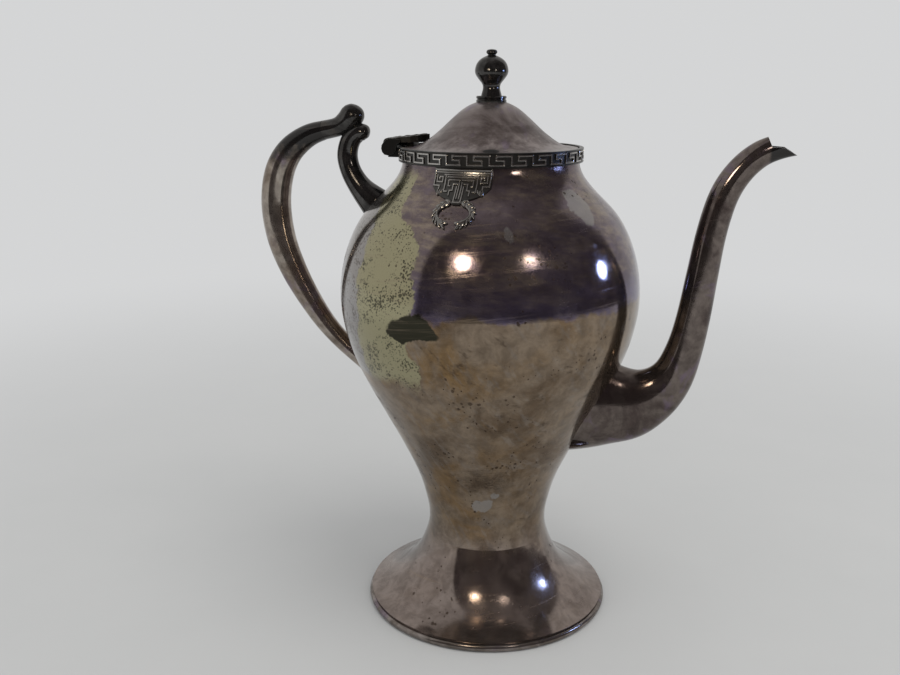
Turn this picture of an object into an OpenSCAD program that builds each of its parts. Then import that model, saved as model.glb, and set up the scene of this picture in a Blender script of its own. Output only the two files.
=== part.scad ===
// Footed silver coffee pot with a hinged domed lid, a swan-neck spout and a scrolled handle.
// +Z is up, +X runs along the spout, -X along the handle, and the origin is the centre of
// the foot where it meets the table. The outline of a turned piece is a list of
// [radius, height], from the bottom up.

/* [Body] */
// Radius of the foot at its rim
foot_r = 55.5; // [54:0.5:60]
// Radius of the waist above the foot
waist_r = 26.8; // [26:0.2:28]
// Largest radius of the body
body_r = 65.5; // [64:0.5:67]
// Outer radius of the neck, under the key band
neck_r = 37.5; // [37:0.5:38.5]
// Thickness of the spun metal
wall = 1.2; // [0.8:0.1:1.4]

/* [Heights] */
// Height of the solder line between the foot and the body
joint_z = 34; // [32:1:36]
// Height of the body's widest place, where its two halves meet
girth_z = 147; // [144:1:150]
// Height of the body's top edge
neck_top_z = 206; // [205.5:0.5:206.5]

/* [Mouth and lid] */
// Radius of the open mouth
mouth_r = 33.5; // [33:0.5:34]
// Radial clearance between the mouth and the ring under the lid
bezel_clearance = 0.9; // [0.6:0.1:1.2]
// Height of the key band
band_h = 5.9; // [5:0.1:7]
// Thickness of the key band
band_t = 1.8; // [1.4:0.1:2]
// Vertical gap between the closed lid and the pot
lid_gap = 0.3; // [0.2:0.1:0.4]

/* [Hinge] */
// Distance of the hinge pin from the pot's axis
hinge_x = 43.6; // [43.4:0.2:44.4]
// Height of the hinge pin
hinge_z = 207.6; // [207.4:0.1:207.8]
// Radius of the hinge pin
pin_r = 1.0; // [0.8:0.1:1.2]
// Radial clearance of the lid's knuckle on the pin
pin_clearance = 0.06; // [0.02:0.01:0.1]

/* [Spout and handle] */
// Thickness of the spout's metal
spout_wall = 1.0; // [0.8:0.1:1.2]
// Thickness of the hollow handle's metal
handle_wall = 1.4; // [1:0.1:1.8]
// Radius of a strainer hole in the body wall behind the spout
strainer_hole_r = 1.6; // [1:0.1:2]
// Spacing of the strainer holes
strainer_pitch = 5.5; // [5:0.5:6]

/* [Hidden] */

silver = [0.50, 0.47, 0.45];
lid_silver = [0.52, 0.48, 0.47];
dark_silver = [0.22, 0.21, 0.21];
brass = [0.62, 0.52, 0.32];

turn_fn = 96;
curve_steps = 4;
sweep_steps = 3;

rim_h = 3.2;
floor_z = 46;
floor_r = 25.7;

band_top_z = neck_top_z + 2.8;
ledge_t = 1.2;
ledge_top_z = neck_top_z + ledge_t;
seat_depth = 4;
flange_z = ledge_top_z + lid_gap;
flange_t = 0.9;
flange_r = neck_r - 0.6;
bezel_r = mouth_r - bezel_clearance;
bezel_t = 1.0;
bezel_depth = 6.5;

knuckle_r = 2.3;
knuckle_l = 5;
knuckle_gap = 0.3;
leaf_z = band_top_z + lid_gap;
leaf_w = 7;
ornament_z = hinge_z + knuckle_r + lid_gap;
ornament_t = 1.3;
ornament_skin = 0.9;

dome_h = 18.5;
collar_z = flange_z + flange_t + dome_h;
collar_r = 6.4;
collar_h = 2.8;
stud_r = 1.5;
stud_top = 8;
nut_z = collar_z - 8;
nut_h = 4;

// Half of the pot's outline, from the foot's edge to the top of the neck
pot_curve = [
    [foot_r - 1.2, rim_h + wall], [48, 7.2], [39.5, 12.8], [32.2, 21.5],
    [waist_r + 0.6, joint_z], [waist_r + 0.1, 42], [28.3, 50], [31.7, 62], [38.2, 76],
    [46.5, 92], [55, 108], [61.2, 122], [body_r - 0.8, 136], [body_r, girth_z],
    [64.1, 159], [60.2, 171], [54.4, 181], [46, 189.3], [40.4, 195.6], [neck_r + 0.3, 201],
    [neck_r, neck_top_z]
];
joint_at = 4;
girth_at = 13;
// The lid's outline, its heights counted from the top of its flange
lid_curve = [
    [flange_r, 0], [33, 0.2], [28.6, 2.1], [24.4, 5], [20.7, 8.1], [17.2, 11.4],
    [12.6, 15.4], [8.6, 17.8], [4.5, 19.2], [0, 19.7]
];
// The finial's outline, its heights counted from the top of its collar
finial_curve = [
    [4.4, 0], [4, 1.4], [3.6, 3.2], [3.9, 4.8], [5.3, 6.6], [6.7, 8.6], [7, 10.6],
    [6.3, 13], [4.8, 14.8], [2.9, 15.9], [1.6, 16.5], [2.3, 17.4], [1.9, 18.5], [0, 18.9]
];

// Centre lines in the plane of the spout and handle: [x, z, half depth, half width]
spout_line = [
    [28, 97, 23, 16], [40, 97.5, 21.2, 15], [52, 98.8, 19.2, 13.2], [63.5, 100.2, 16.5, 11.2],
    [73.5, 105, 12.2, 9.4], [80.8, 113.2, 9.2, 8], [85.1, 125, 7.7, 7.2], [88, 139, 7, 6.8],
    [90.6, 158, 6.5, 6.4], [93.2, 176, 6.1, 6], [97, 191, 5.9, 5.8], [102.6, 201, 5.6, 5.4],
    [109.6, 207.7, 5.3, 5], [117, 211, 5, 4.2], [124.2, 213.2, 5.4, 3.6]
];
handle_line = [
    [-46, 99.5, 4.6, 5.2], [-60, 109.6, 4, 4.6], [-70.5, 118, 4.1, 4.6], [-79.5, 127.5, 4.6, 4.8],
    [-88, 140, 5.4, 5.4], [-94.5, 152, 6.1, 6], [-99.5, 165.5, 6.6, 6.5],
    [-101.4, 181, 6.85, 6.6], [-99, 195.5, 6.7, 6.5], [-93, 205.5, 6, 6],
    [-84, 212, 5, 5.2], [-76, 214.6, 4.2, 4.8], [-69.8, 216, 4.2, 4.8], [-65.6, 218.3, 5, 5.2],
    [-63, 220.8, 5.4, 5.4], [-61.6, 223, 4.8, 4.8], [-60.7, 224.7, 3, 3], [-60.4, 225.3, 0.8, 0.8]
];
knob_at = 11;
bracket_line = [
    [-48, 179, 9, 7.5], [-54.5, 184.6, 6.8, 6], [-59.8, 190, 5.2, 5.2], [-63.9, 196.5, 4.6, 4.8],
    [-65.6, 203.5, 4.6, 4.6], [-64, 210, 4.4, 4.6], [-60.6, 213.4, 4.1, 4.4],
    [-57.6, 213.9, 3.6, 4], [-55.6, 213.7, 2.4, 2.8], [-54.9, 213.6, 0.5, 0.5]
];
// What is cut away above the spout's beak, in the same plane
beak_cut = [
    [112.2, 230], [112.2, 214.8], [114, 210.9], [118.7, 210.6], [124, 207.4], [135, 207.4],
    [135, 230]
];
// The key panel of an ornament, and the arms of the laurel wreath below it
panel = [
    [12, 202.8], [12, 195.2], [10.3, 193.4], [7.5, 191.9], [5.5, 191.2], [1.6, 190.6],
    [1.6, 189.2]
];
wreath_z = 186.2;
wreath_a = 8.2;
wreath_b = 4.9;
wreath_t = 2.5;
wreath_open = 55;
ornament_turn = -3;
// Half of the outline of the lid's ornament, seen from above
lid_ornament_half = [
    [-3.9, 0], [-3.2, 4.2], [-1, 8.2], [1.6, 8.6], [6, 7], [9.5, 6.6], [12.6, 5.4], [15.4, 2.6],
    [16.4, 0]
];

// A smooth curve through a list of points, each of any number of values
function bend(a, b, c, d, t) = 0.5 * (
    2 * b + (c - a) * t + (2 * a - 5 * b + 4 * c - d) * t * t
    + (3 * b - a - 3 * c + d) * t * t * t
);
function pick(list, i) = list[max(0, min(len(list) - 1, i))];
function smooth(list, n) = concat(
    [for (i = [0 : len(list) - 2], k = [0 : n - 1])
        bend(pick(list, i - 1), list[i], list[i + 1], pick(list, i + 2), k / n)],
    [list[len(list) - 1]]
);
function reversed(list) = [for (i = [len(list) - 1 : -1 : 0]) list[i]];
function slice(list, first, last) = [for (i = [first : last]) list[i]];
function raised(list, z) = [for (p = list) [p[0], p[1] + z]];
function mirrored(list) = concat(list, reversed([for (p = list) [-p[0], p[1]]]));

// The direction of a line at one of its points, and a line moved inwards by t
function heading(list, i) = pick(list, i + 1) - pick(list, i - 1);
function inset(list, t) = [
    for (i = [0 : len(list) - 1])
        let (h = heading(list, i), l = norm([h[0], h[1]]))
            [max(0, list[i][0] - t * h[1] / l), list[i][1] + t * h[0] / l]
];
// The closed outline of sheet metal turned to a line
function sheet(list, t) = concat(list, reversed(inset(list, t)));
// The same for the part of a longer line between two of its points
function part_sheet(list, t, first, last) =
    concat(slice(list, first, last), reversed(slice(inset(list, t), first, last)));

module turned(points) {
    rotate_extrude($fn = turn_fn) polygon(points);
}

// A point on the ring round a station of a swept piece, square to its centre line
function ring_point(station, turn, a, b, angle) = [
    station[0] - a * cos(angle) * sin(turn),
    b * sin(angle),
    station[1] + a * cos(angle) * cos(turn)
];
function half_ring(s, turn, t, n) = concat(
    [for (k = [0 : n]) ring_point(s, turn, s[2], s[3], 180 * k / n)],
    [for (k = [n : -1 : 0]) ring_point(s, turn, s[2] - t, s[3] - t, 180 * k / n)]
);
function full_ring(s, turn, n) =
    [for (k = [0 : n - 1]) ring_point(s, turn, s[2], s[3], 360 * k / n)];
function turn_at(path, i) = let (h = heading(path, i)) atan2(h[1], h[0]);

module skin(rings) {
    m = len(rings[0]);
    last = len(rings) - 1;
    polyhedron(
        points = [for (ring = rings) each ring],
        faces = concat(
            [[for (k = [m - 1 : -1 : 0]) k]],
            [for (i = [0 : last - 1], k = [0 : m - 1])
                [i * m + k, i * m + (k + 1) % m, (i + 1) * m + (k + 1) % m, (i + 1) * m + k]],
            [[for (k = [0 : m - 1]) last * m + k]]
        ),
        convexity = 8
    );
}
module full_bar(path, n = 16) {
    skin([for (i = [0 : len(path) - 1]) full_ring(path[i], turn_at(path, i), n)]);
}
// The half at +Y of a hollow swept piece
module half_tube(path, t, n = 9) {
    skin([for (i = [0 : len(path) - 1]) half_ring(path[i], turn_at(path, i), t, n)]);
}

spout_path = smooth(spout_line, sweep_steps);
handle_path = smooth(handle_line, sweep_steps);
bracket_path = smooth(bracket_line, sweep_steps);
pot_outline = smooth(pot_curve, curve_steps);
foot_end = joint_at * curve_steps;
lower_end = girth_at * curve_steps;
upper_end = len(pot_outline) - 1;
upper_outline = slice(pot_outline, lower_end, upper_end);
lid_outline = raised(smooth(lid_curve, curve_steps), flange_z + flange_t);

// The body as if it were solid, to trim what is soldered to its outside
module body_solid() {
    turned(concat([[0, joint_z]], slice(pot_outline, foot_end, upper_end), [[0, neck_top_z]]));
}
// The lid as if it were solid, to trim what sits on it
module lid_solid() {
    turned(concat([[0, flange_z]], [[flange_r, flange_z]], lid_outline));
}

module foot() {
    color(silver) turned(part_sheet(pot_outline, wall, 0, foot_end));
}

module foot_rim() {
    wire_r = rim_h / 2;
    color(dark_silver) rotate_extrude($fn = turn_fn)
        union() {
            translate([foot_r - wire_r, wire_r]) circle(wire_r, $fn = 32);
            translate([foot_r - wire_r - 1.8, 0]) square([1.8, rim_h]);
        }
}

module body_floor() {
    color(silver) translate([0, 0, floor_z]) cylinder(h = wall, r = floor_r, $fn = turn_fn);
}

// The strainer is drilled straight through the wall, inside the root of the spout
module strainer_holes() {
    for (row = [-2 : 2])
        for (col = [-1 : 1])
            let (stagger = abs(row) % 2 == 1 ? 0.5 : 0)
                if (col + stagger < 1.5)
                    translate([0, (col + stagger) * strainer_pitch, 97 + row * strainer_pitch])
                        rotate([0, 90, 0]) cylinder(h = body_r, r = strainer_hole_r, $fn = 24);
}

module body_lower() {
    color(silver) difference() {
        turned(part_sheet(pot_outline, wall, foot_end, lower_end));
        strainer_holes();
    }
}

module body_upper() {
    color(silver) turned(part_sheet(pot_outline, wall, lower_end, upper_end));
}

module mouth_ring() {
    color(silver) turned([
        [mouth_r, neck_top_z - seat_depth], [mouth_r + 1, neck_top_z - seat_depth],
        [mouth_r + 1, neck_top_z], [neck_r, neck_top_z], [neck_r, ledge_top_z],
        [mouth_r, ledge_top_z]
    ]);
}

// A strip soldered round the neck, its middle sunk to take the key pattern
module key_band() {
    edge = 0.7;
    low = band_top_z - band_h;
    color(dark_silver) turned([
        [neck_r, neck_top_z], [neck_r + 0.02, low], [neck_r + band_t, low],
        [neck_r + band_t, low + edge], [neck_r + band_t - 0.5, low + edge],
        [neck_r + band_t - 0.5, band_top_z - edge], [neck_r + band_t, band_top_z - edge],
        [neck_r + band_t, band_top_z], [neck_r, band_top_z]
    ]);
}

module spout_half() {
    color(dark_silver) difference() {
        half_tube(spout_path, spout_wall);
        body_solid();
        translate([0, 20, 0]) rotate([90, 0, 0]) linear_extrude(40) polygon(beak_cut);
    }
}
module spout_near_half() {
    mirror([0, 1, 0]) spout_half();
}
module spout_far_half() {
    spout_half();
}

module handle_half() {
    color(dark_silver) difference() {
        half_tube(slice(handle_path, 0, knob_at * sweep_steps), handle_wall);
        body_solid();
    }
}
module handle_near_half() {
    mirror([0, 1, 0]) handle_half();
}
module handle_far_half() {
    handle_half();
}

// The solid neck and round end that close the hollow handle
module handle_knob() {
    color(dark_silver) full_bar(slice(handle_path, knob_at * sweep_steps, len(handle_path) - 1));
}

module handle_bracket() {
    color(dark_silver) difference() {
        full_bar(bracket_path);
        body_solid();
    }
}

// The laurel wreath is an oval ring, open at the bottom
function wreath_point(a, b, angle) = [a * sin(angle), wreath_z + b * cos(angle)];
wreath_end = 180 - wreath_open / 2;
wreath = concat(
    [for (k = [0 : 24])
        wreath_point(wreath_a, wreath_b, -wreath_end + 2 * wreath_end * k / 24)],
    [for (k = [24 : -1 : 0])
        wreath_point(wreath_a - wreath_t, wreath_b - 1.8, -wreath_end + 2 * wreath_end * k / 24)]
);

// A thin casting that follows the neck and shoulder
module ornament() {
    color(dark_silver) rotate([0, 0, ornament_turn]) intersection() {
        turned(concat(inset(upper_outline, -ornament_skin), reversed(upper_outline)));
        translate([0, -20, 0]) rotate([90, 0, 0]) linear_extrude(60)
            union() {
                polygon(mirrored(panel));
                polygon(wreath);
            }
    }
}
module front_ornament() {
    ornament();
}
module back_ornament() {
    rotate([0, 0, 180]) ornament();
}

module along_pin(y, l, r) {
    translate([-hinge_x, y + l / 2, hinge_z]) rotate([90, 0, 0]) cylinder(h = l, r = r, $fn = 32);
}

// The two outer knuckles, on one bracket soldered to the key band
module hinge_lug() {
    knuckle_y = knuckle_l + knuckle_gap;
    lug_w = 2 * knuckle_y + knuckle_l;
    lug_x = neck_r + band_t;
    lug_l = hinge_x - lug_x + 1;
    strip_t = 1;
    strip_z = hinge_z - knuckle_r - knuckle_gap - strip_t;
    color(dark_silver) difference() {
        union() {
            translate([-hinge_x, -lug_w / 2, strip_z]) cube([lug_l, lug_w, strip_t]);
            for (side = [-1, 1]) {
                along_pin(side * knuckle_y, knuckle_l, knuckle_r);
                translate([-hinge_x, side * knuckle_y - knuckle_l / 2, strip_z])
                    cube([lug_l, knuckle_l, hinge_z - lid_gap - strip_z]);
            }
        }
        along_pin(0, 40, pin_r);
        cylinder(h = 300, r = lug_x, $fn = turn_fn);
    }
}

module hinge_pin() {
    color(brass) along_pin(0, 3 * knuckle_l + 2 * knuckle_gap, pin_r);
}

module lid_dome() {
    color(lid_silver) difference() {
        turned(sheet(lid_outline, flange_t));
        cylinder(h = 300, r = stud_r, $fn = 32);
    }
}

module lid_bezel() {
    color(lid_silver) turned([
        [bezel_r - bezel_t, flange_z - bezel_depth], [bezel_r, flange_z - bezel_depth],
        [bezel_r, flange_z], [bezel_r - bezel_t, flange_z]
    ]);
}

// The middle knuckle and the leaf that carries it over the band to the lid's flange
module lid_hinge_leaf() {
    flange_top = flange_z + flange_t;
    leaf_t = ornament_z - leaf_z;
    color(dark_silver) difference() {
        union() {
            along_pin(0, knuckle_l, knuckle_r);
            translate([-hinge_x, -knuckle_l / 2, leaf_z])
                cube([hinge_x - flange_r + 1, knuckle_l, leaf_t]);
            translate([-flange_r + 0.4, -leaf_w / 2, flange_top])
                cube([3.2, leaf_w, ornament_z - flange_top]);
        }
        lid_solid();
        along_pin(0, 40, pin_r + pin_clearance);
    }
}

// A cast key-pattern plate that hides the hinge; its inner end lifts towards the finial
module lid_ornament() {
    outline = concat(lid_ornament_half, reversed([for (p = lid_ornament_half) [p[0], -p[1]]]));
    color(dark_silver) difference() {
        translate([-hinge_x, 0, ornament_z]) linear_extrude(ornament_t) polygon(outline);
        lid_solid();
    }
}

module finial_collar() {
    color(dark_silver) difference() {
        translate([0, 0, collar_z]) cylinder(h = collar_h, r = collar_r, $fn = turn_fn);
        lid_solid();
        cylinder(h = 300, r = stud_r, $fn = 32);
    }
}

module finial_knob() {
    color(dark_silver) difference() {
        translate([0, 0, collar_z + collar_h])
            turned(concat([[0, 0]], smooth(finial_curve, curve_steps)));
        cylinder(h = collar_z + collar_h + stud_top, r = stud_r, $fn = 32);
    }
}

module finial_stud() {
    color(brass) translate([0, 0, nut_z - 1])
        cylinder(h = collar_z + collar_h + stud_top - nut_z + 1, r = stud_r, $fn = 32);
}

module finial_nut() {
    wing = 4;
    color(brass) difference() {
        translate([0, 0, nut_z]) union() {
            cylinder(h = nut_h, r = 3.2, $fn = 32);
            for (side = [-1, 1])
                translate([side * wing - 2, -0.7, 0]) cube([4, 1.4, nut_h]);
        }
        cylinder(h = 300, r = stud_r, $fn = 32);
    }
}

foot();
foot_rim();
body_floor();
body_lower();
body_upper();
mouth_ring();
key_band();
spout_near_half();
spout_far_half();
handle_near_half();
handle_far_half();
handle_knob();
handle_bracket();
front_ornament();
back_ornament();
hinge_lug();
hinge_pin();
lid_dome();
lid_bezel();
lid_hinge_leaf();
lid_ornament();
finial_collar();
finial_knob();
finial_stud();
finial_nut();
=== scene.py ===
"""Looks of a footed silver coffee pot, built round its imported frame."""

import itertools
import logging
import math
from collections.abc import Callable, Sequence
from dataclasses import dataclass
from enum import Enum

import bmesh
import bpy
from mathutils import Matrix, Vector


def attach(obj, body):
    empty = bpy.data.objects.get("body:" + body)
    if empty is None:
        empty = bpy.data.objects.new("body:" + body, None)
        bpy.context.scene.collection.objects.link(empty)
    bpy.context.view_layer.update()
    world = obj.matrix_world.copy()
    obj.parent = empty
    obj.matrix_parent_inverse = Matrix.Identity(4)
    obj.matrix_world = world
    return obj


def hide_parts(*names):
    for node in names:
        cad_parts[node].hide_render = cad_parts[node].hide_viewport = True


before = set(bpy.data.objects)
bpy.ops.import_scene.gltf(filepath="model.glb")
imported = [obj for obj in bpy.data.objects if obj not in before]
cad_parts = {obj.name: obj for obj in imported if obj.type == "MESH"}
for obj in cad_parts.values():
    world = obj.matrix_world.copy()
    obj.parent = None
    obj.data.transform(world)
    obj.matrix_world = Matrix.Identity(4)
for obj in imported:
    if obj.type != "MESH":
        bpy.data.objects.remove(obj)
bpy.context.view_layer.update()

LOG = logging.getLogger("coffee_pot")

MM = 0.001
TURN_STEPS = 160
CURVE_STEPS = 6
SWEEP_STEPS = 8

Pair = tuple[float, float]
Line = list[Pair]
Station = tuple[float, float, float, float]
Socket = bpy.types.NodeSocket
Piece = bpy.types.Object
Material = bpy.types.Material
Colour = tuple[float, float, float]
Patch = tuple[float, float, float, float]


class Body(Enum):
    """The two bodies that the hinge joins."""

    POT = "pot"
    LID = "lid"


class Slot(Enum):
    """The record's material slots."""

    BODY = "silver_body"
    FOOT = "silver_foot"
    LID = "silver_lid"
    CAST = "silver_cast"
    ORNAMENT = "silver_ornament"


# ---------------------------------------------------------------- sizes, in millimetres

FOOT_R = 55.5
RIM_H = 3.2
WALL = 1.2
JOINT_Z = 34.0
GIRTH_Z = 147.0
NECK_R = 37.5
NECK_TOP_Z = 206.0
BAND_T = 1.8
BAND_H = 5.9
BAND_TOP_Z = 208.8
BAND_EDGE = 0.7
BAND_SUNK = 0.5
FLANGE_Z = 207.5
FLANGE_T = 0.9
FLANGE_R = 36.9
HINGE_X = 43.6
HINGE_Z = 207.6
COLLAR_Z = 226.9
COLLAR_R = 6.4
COLLAR_H = 2.8
ORNAMENT_TURN = -3.0

POT_CURVE: Line = [
    (54.3, 4.4), (48, 7.2), (39.5, 12.8), (32.2, 21.5), (27.4, 34), (26.9, 42), (28.3, 50),
    (31.7, 62), (38.2, 76), (46.5, 92), (55, 108), (61.2, 122), (64.7, 136), (65.5, GIRTH_Z),
    (64.1, 159), (60.2, 171), (54.4, 181), (46, 189.3), (40.4, 195.6), (37.8, 201),
    (NECK_R, NECK_TOP_Z),
]
JOINT_AT = 4
GIRTH_AT = 13
LID_CURVE: Line = [
    (FLANGE_R, 0), (33, 0.2), (28.6, 2.1), (24.4, 5), (20.7, 8.1), (17.2, 11.4),
    (12.6, 15.4), (8.6, 17.8), (4.5, 19.2), (0, 19.7),
]
FINIAL_CURVE: Line = [
    (4.4, 0), (4, 1.4), (3.6, 3.2), (3.9, 4.8), (5.3, 6.6), (6.7, 8.6), (7, 10.6),
    (6.3, 13), (4.8, 14.8), (2.9, 15.9), (1.6, 16.5), (2.3, 17.4), (1.9, 18.5), (0, 18.9),
]
SPOUT_LINE: list[Station] = [
    (28, 97, 23, 16), (40, 97.5, 21.2, 15), (52, 98.8, 19.2, 13.2), (63.5, 100.2, 16.5, 11.2),
    (73.5, 105, 12.2, 9.4), (80.8, 113.2, 9.2, 8), (85.1, 125, 7.7, 7.2), (88, 139, 7, 6.8),
    (90.6, 158, 6.5, 6.4), (93.2, 176, 6.1, 6), (97, 191, 5.9, 5.8), (102.6, 201, 5.6, 5.4),
    (109.6, 207.7, 5.3, 5), (117, 211, 5, 4.2), (124.2, 213.2, 5.4, 3.6),
]
HANDLE_LINE: list[Station] = [
    (-46, 99.5, 4.6, 5.2), (-60, 109.6, 4, 4.6), (-70.5, 118, 4.1, 4.6),
    (-79.5, 127.5, 4.6, 4.8), (-88, 140, 5.4, 5.4), (-94.5, 152, 6.1, 6),
    (-99.5, 165.5, 6.6, 6.5), (-101.4, 181, 6.85, 6.6), (-99, 195.5, 6.7, 6.5),
    (-93, 205.5, 6, 6), (-84, 212, 5, 5.2), (-76, 214.6, 4.2, 4.8), (-69.8, 216, 4.2, 4.8),
    (-65.6, 218.3, 5, 5.2), (-63, 220.8, 5.4, 5.4), (-61.6, 223, 4.8, 4.8),
    (-60.7, 224.7, 3, 3), (-60.4, 225.3, 0.8, 0.8),
]
KNOB_AT = 11
BRACKET_LINE: list[Station] = [
    (-48, 179, 9, 7.5), (-54.5, 184.6, 6.8, 6), (-59.8, 190, 5.2, 5.2), (-63.9, 196.5, 4.6, 4.8),
    (-65.6, 203.5, 4.6, 4.6), (-64, 210, 4.4, 4.6), (-60.6, 213.4, 4.1, 4.4),
    (-57.6, 213.9, 3.6, 4), (-55.6, 213.7, 2.4, 2.8), (-54.9, 213.6, 0.5, 0.5),
]
BEAK_CUT_W = 20
BEAK_CUT: Line = [
    (112.2, 230), (112.2, 214.8), (114, 210.9), (118.7, 210.6), (124, 207.4), (135, 207.4),
    (135, 230),
]


# ---------------------------------------------------------------- curves


def bend(a: float, b: float, c: float, d: float, t: float) -> float:
    """One value on the smooth curve from b to c.

    Args:
        a, b, c, d: four values that follow each other on the curve.
        t: how far along from b to c, from 0 to 1.

    Returns:
        The value there.
    """
    return 0.5 * (
        2 * b + (c - a) * t + (2 * a - 5 * b + 4 * c - d) * t * t
        + (3 * b - a - 3 * c + d) * t * t * t
    )


def smooth(points: Sequence[Sequence[float]], steps: int) -> list[tuple[float, ...]]:
    """A smooth curve through points that have any number of values each.

    Args:
        points: the points that the curve passes through.
        steps: how many points the curve has for each span.

    Returns:
        The curve's points.
    """
    last = len(points) - 1
    curve = []
    for i in range(last):
        four = [points[max(0, min(last, i + k))] for k in (-1, 0, 1, 2)]
        for step in range(steps):
            curve.append(tuple(bend(*values, step / steps) for values in zip(*four)))
    curve.append(tuple(points[last]))
    return curve


def fair(curve: list[tuple[float, ...]], passes: int) -> list[tuple[float, ...]]:
    """Evens out a curve's bends, so that its reflections run without kinks.

    Args:
        curve: the points; the two ends stay where they are.
        passes: how many times each point moves towards its neighbours.

    Returns:
        The evened curve.
    """
    for _ in range(passes):
        middle = [
            tuple((a + 2 * b + c) / 4 for a, b, c in zip(before, here, after))
            for before, here, after in zip(curve, curve[1:], curve[2:])
        ]
        curve = [curve[0], *middle, curve[-1]]
    return curve


def inset(outline: Line, distance: float) -> Line:
    """Moves a turned outline square to itself, towards the axis.

    Args:
        outline: (radius, height) points.
        distance: how far, in millimetres; less than nothing moves it outwards.

    Returns:
        The moved outline.
    """
    last = len(outline) - 1
    moved = []
    for i, (radius, height) in enumerate(outline):
        before, after = outline[max(0, i - 1)], outline[min(last, i + 1)]
        along = (after[0] - before[0], after[1] - before[1])
        length = math.hypot(*along)
        moved.append((
            max(0.0, radius - distance * along[1] / length),
            height + distance * along[0] / length,
        ))
    return moved


def shell_outline(outline: Line, thickness: float, first: int, last: int) -> Line:
    """The closed outline of sheet metal over part of a longer outline.

    Args:
        outline: the outer face's (radius, height) points.
        thickness: of the metal.
        first, last: where the part starts and ends in the outline.

    Returns:
        The points, up the outer face and down the inner one. A short step next to each end of
        the outer face keeps the shading there true to the curve.
    """
    near_end = 0.04
    outer = list(outline[first : last + 1])
    outer.insert(1, mixed(outer[0], outer[1], near_end))
    outer.insert(-1, mixed(outer[-1], outer[-2], near_end))
    inner = inset(outline, thickness)[first : last + 1 : 3]
    end = inset(outline, thickness)[last]
    if inner[-1] != end:
        inner.append(end)
    return outer + inner[::-1]


def mixed(a: Sequence[float], b: Sequence[float], share: float) -> tuple[float, ...]:
    """The point that is share of the way from a to b."""
    return tuple(x + (y - x) * share for x, y in zip(a, b))


def circle_points(centre: Pair, radius: float, start: float, end: float, steps: int) -> Line:
    """Points on an arc.

    Args:
        centre: of the arc.
        radius: of the arc.
        start, end: its angles in degrees, anticlockwise from the first axis.
        steps: how many stretches it has.

    Returns:
        The points, both ends among them.
    """
    angles = [math.radians(start + (end - start) * i / steps) for i in range(steps + 1)]
    return [(centre[0] + radius * math.cos(a), centre[1] + radius * math.sin(a)) for a in angles]


POT_OUTLINE: Line = fair(smooth(POT_CURVE, CURVE_STEPS), 6)
LID_OUTLINE: Line = [
    (r, z + FLANGE_Z + FLANGE_T) for r, z in fair(smooth(LID_CURVE, CURVE_STEPS), 4)
]
FOOT_END = JOINT_AT * CURVE_STEPS
LOWER_END = GIRTH_AT * CURVE_STEPS
UPPER_END = len(POT_OUTLINE) - 1


def pot_surface(height: float) -> tuple[float, Vector]:
    """Where the pot's outer face is at a height.

    Args:
        height: in millimetres.

    Returns:
        The radius there, and the outward direction as (radial, up).
    """
    for low, high in zip(POT_OUTLINE, POT_OUTLINE[1:]):
        if low[1] <= height <= high[1]:
            share = (height - low[1]) / (high[1] - low[1])
            break
    else:
        low, high = POT_OUTLINE[-2:]
        share = 1.0
    normal = Vector((high[1] - low[1], low[0] - high[0])).normalized()
    return low[0] + (high[0] - low[0]) * share, normal


# ---------------------------------------------------------------- the modelling bench


def leave_edit() -> None:
    """Goes back to object mode with nothing selected."""
    if bpy.context.mode != "OBJECT":
        bpy.ops.object.mode_set(mode="OBJECT")
    bpy.ops.object.select_all(action="DESELECT")


def start(name: str, add: Callable[..., object], **sizes: object) -> Piece:
    """Adds a primitive with nothing else selected, and opens it for shaping.

    Args:
        name: of the piece.
        add: the operator that adds the primitive.
        sizes: what that operator is given.

    Returns:
        The new piece, in edit mode and selected all over.
    """
    leave_edit()
    add(**sizes)
    piece = bpy.context.object
    piece.name = name
    piece.data.name = name
    bpy.ops.object.mode_set(mode="EDIT")
    bpy.ops.mesh.select_all(action="SELECT")
    return piece


def only(*pieces: Piece) -> None:
    """Selects these pieces alone; the first is the active one."""
    leave_edit()
    for piece in pieces:
        piece.select_set(True)
    bpy.context.view_layer.objects.active = pieces[0]


def weld(limit: float = 0.001) -> None:
    """Selects the open piece all over and merges its doubles; the limit is in millimetres."""
    bpy.ops.mesh.select_all(action="SELECT")
    bpy.ops.mesh.remove_doubles(threshold=limit * MM)


def push(x: float, y: float, z: float) -> None:
    """Extrudes the selected faces this far, in millimetres."""
    bpy.ops.mesh.extrude_region_move(
        TRANSFORM_OT_translate={"value": (x * MM, y * MM, z * MM)}
    )


def aim_along_x() -> None:
    """Turns the open primitive from +Z to +X."""
    bpy.ops.transform.rotate(value=math.pi / 2, orient_axis="Y", center_override=(0, 0, 0))


def fill_ends() -> None:
    """Closes the open piece's two ends."""
    bpy.ops.mesh.select_all(action="SELECT")
    bpy.ops.mesh.fill_holes(sides=0)


def close_up(piece: Piece, sharp: float = 30.0) -> Piece:
    """Merges doubles, turns the faces outwards and shades the piece.

    Args:
        piece: what was shaped.
        sharp: the least angle in degrees between two faces that stays a crisp edge.

    Returns:
        The piece, in object mode.
    """
    only(piece)
    bpy.ops.object.mode_set(mode="EDIT")
    weld(0.002)
    bpy.ops.mesh.normals_make_consistent(inside=False)
    leave_edit()
    only(piece)
    bpy.ops.object.shade_smooth_by_angle(angle=math.radians(sharp))
    leave_edit()
    return piece


def apply(piece: Piece, kind: str, **settings: object) -> None:
    """Gives the piece a modifier with these settings and applies it."""
    only(piece)
    modifier = piece.modifiers.new(kind.title(), kind)
    for name, value in settings.items():
        setattr(modifier, name, value)
    bpy.ops.object.modifier_apply(modifier=modifier.name)
    leave_edit()


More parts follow.
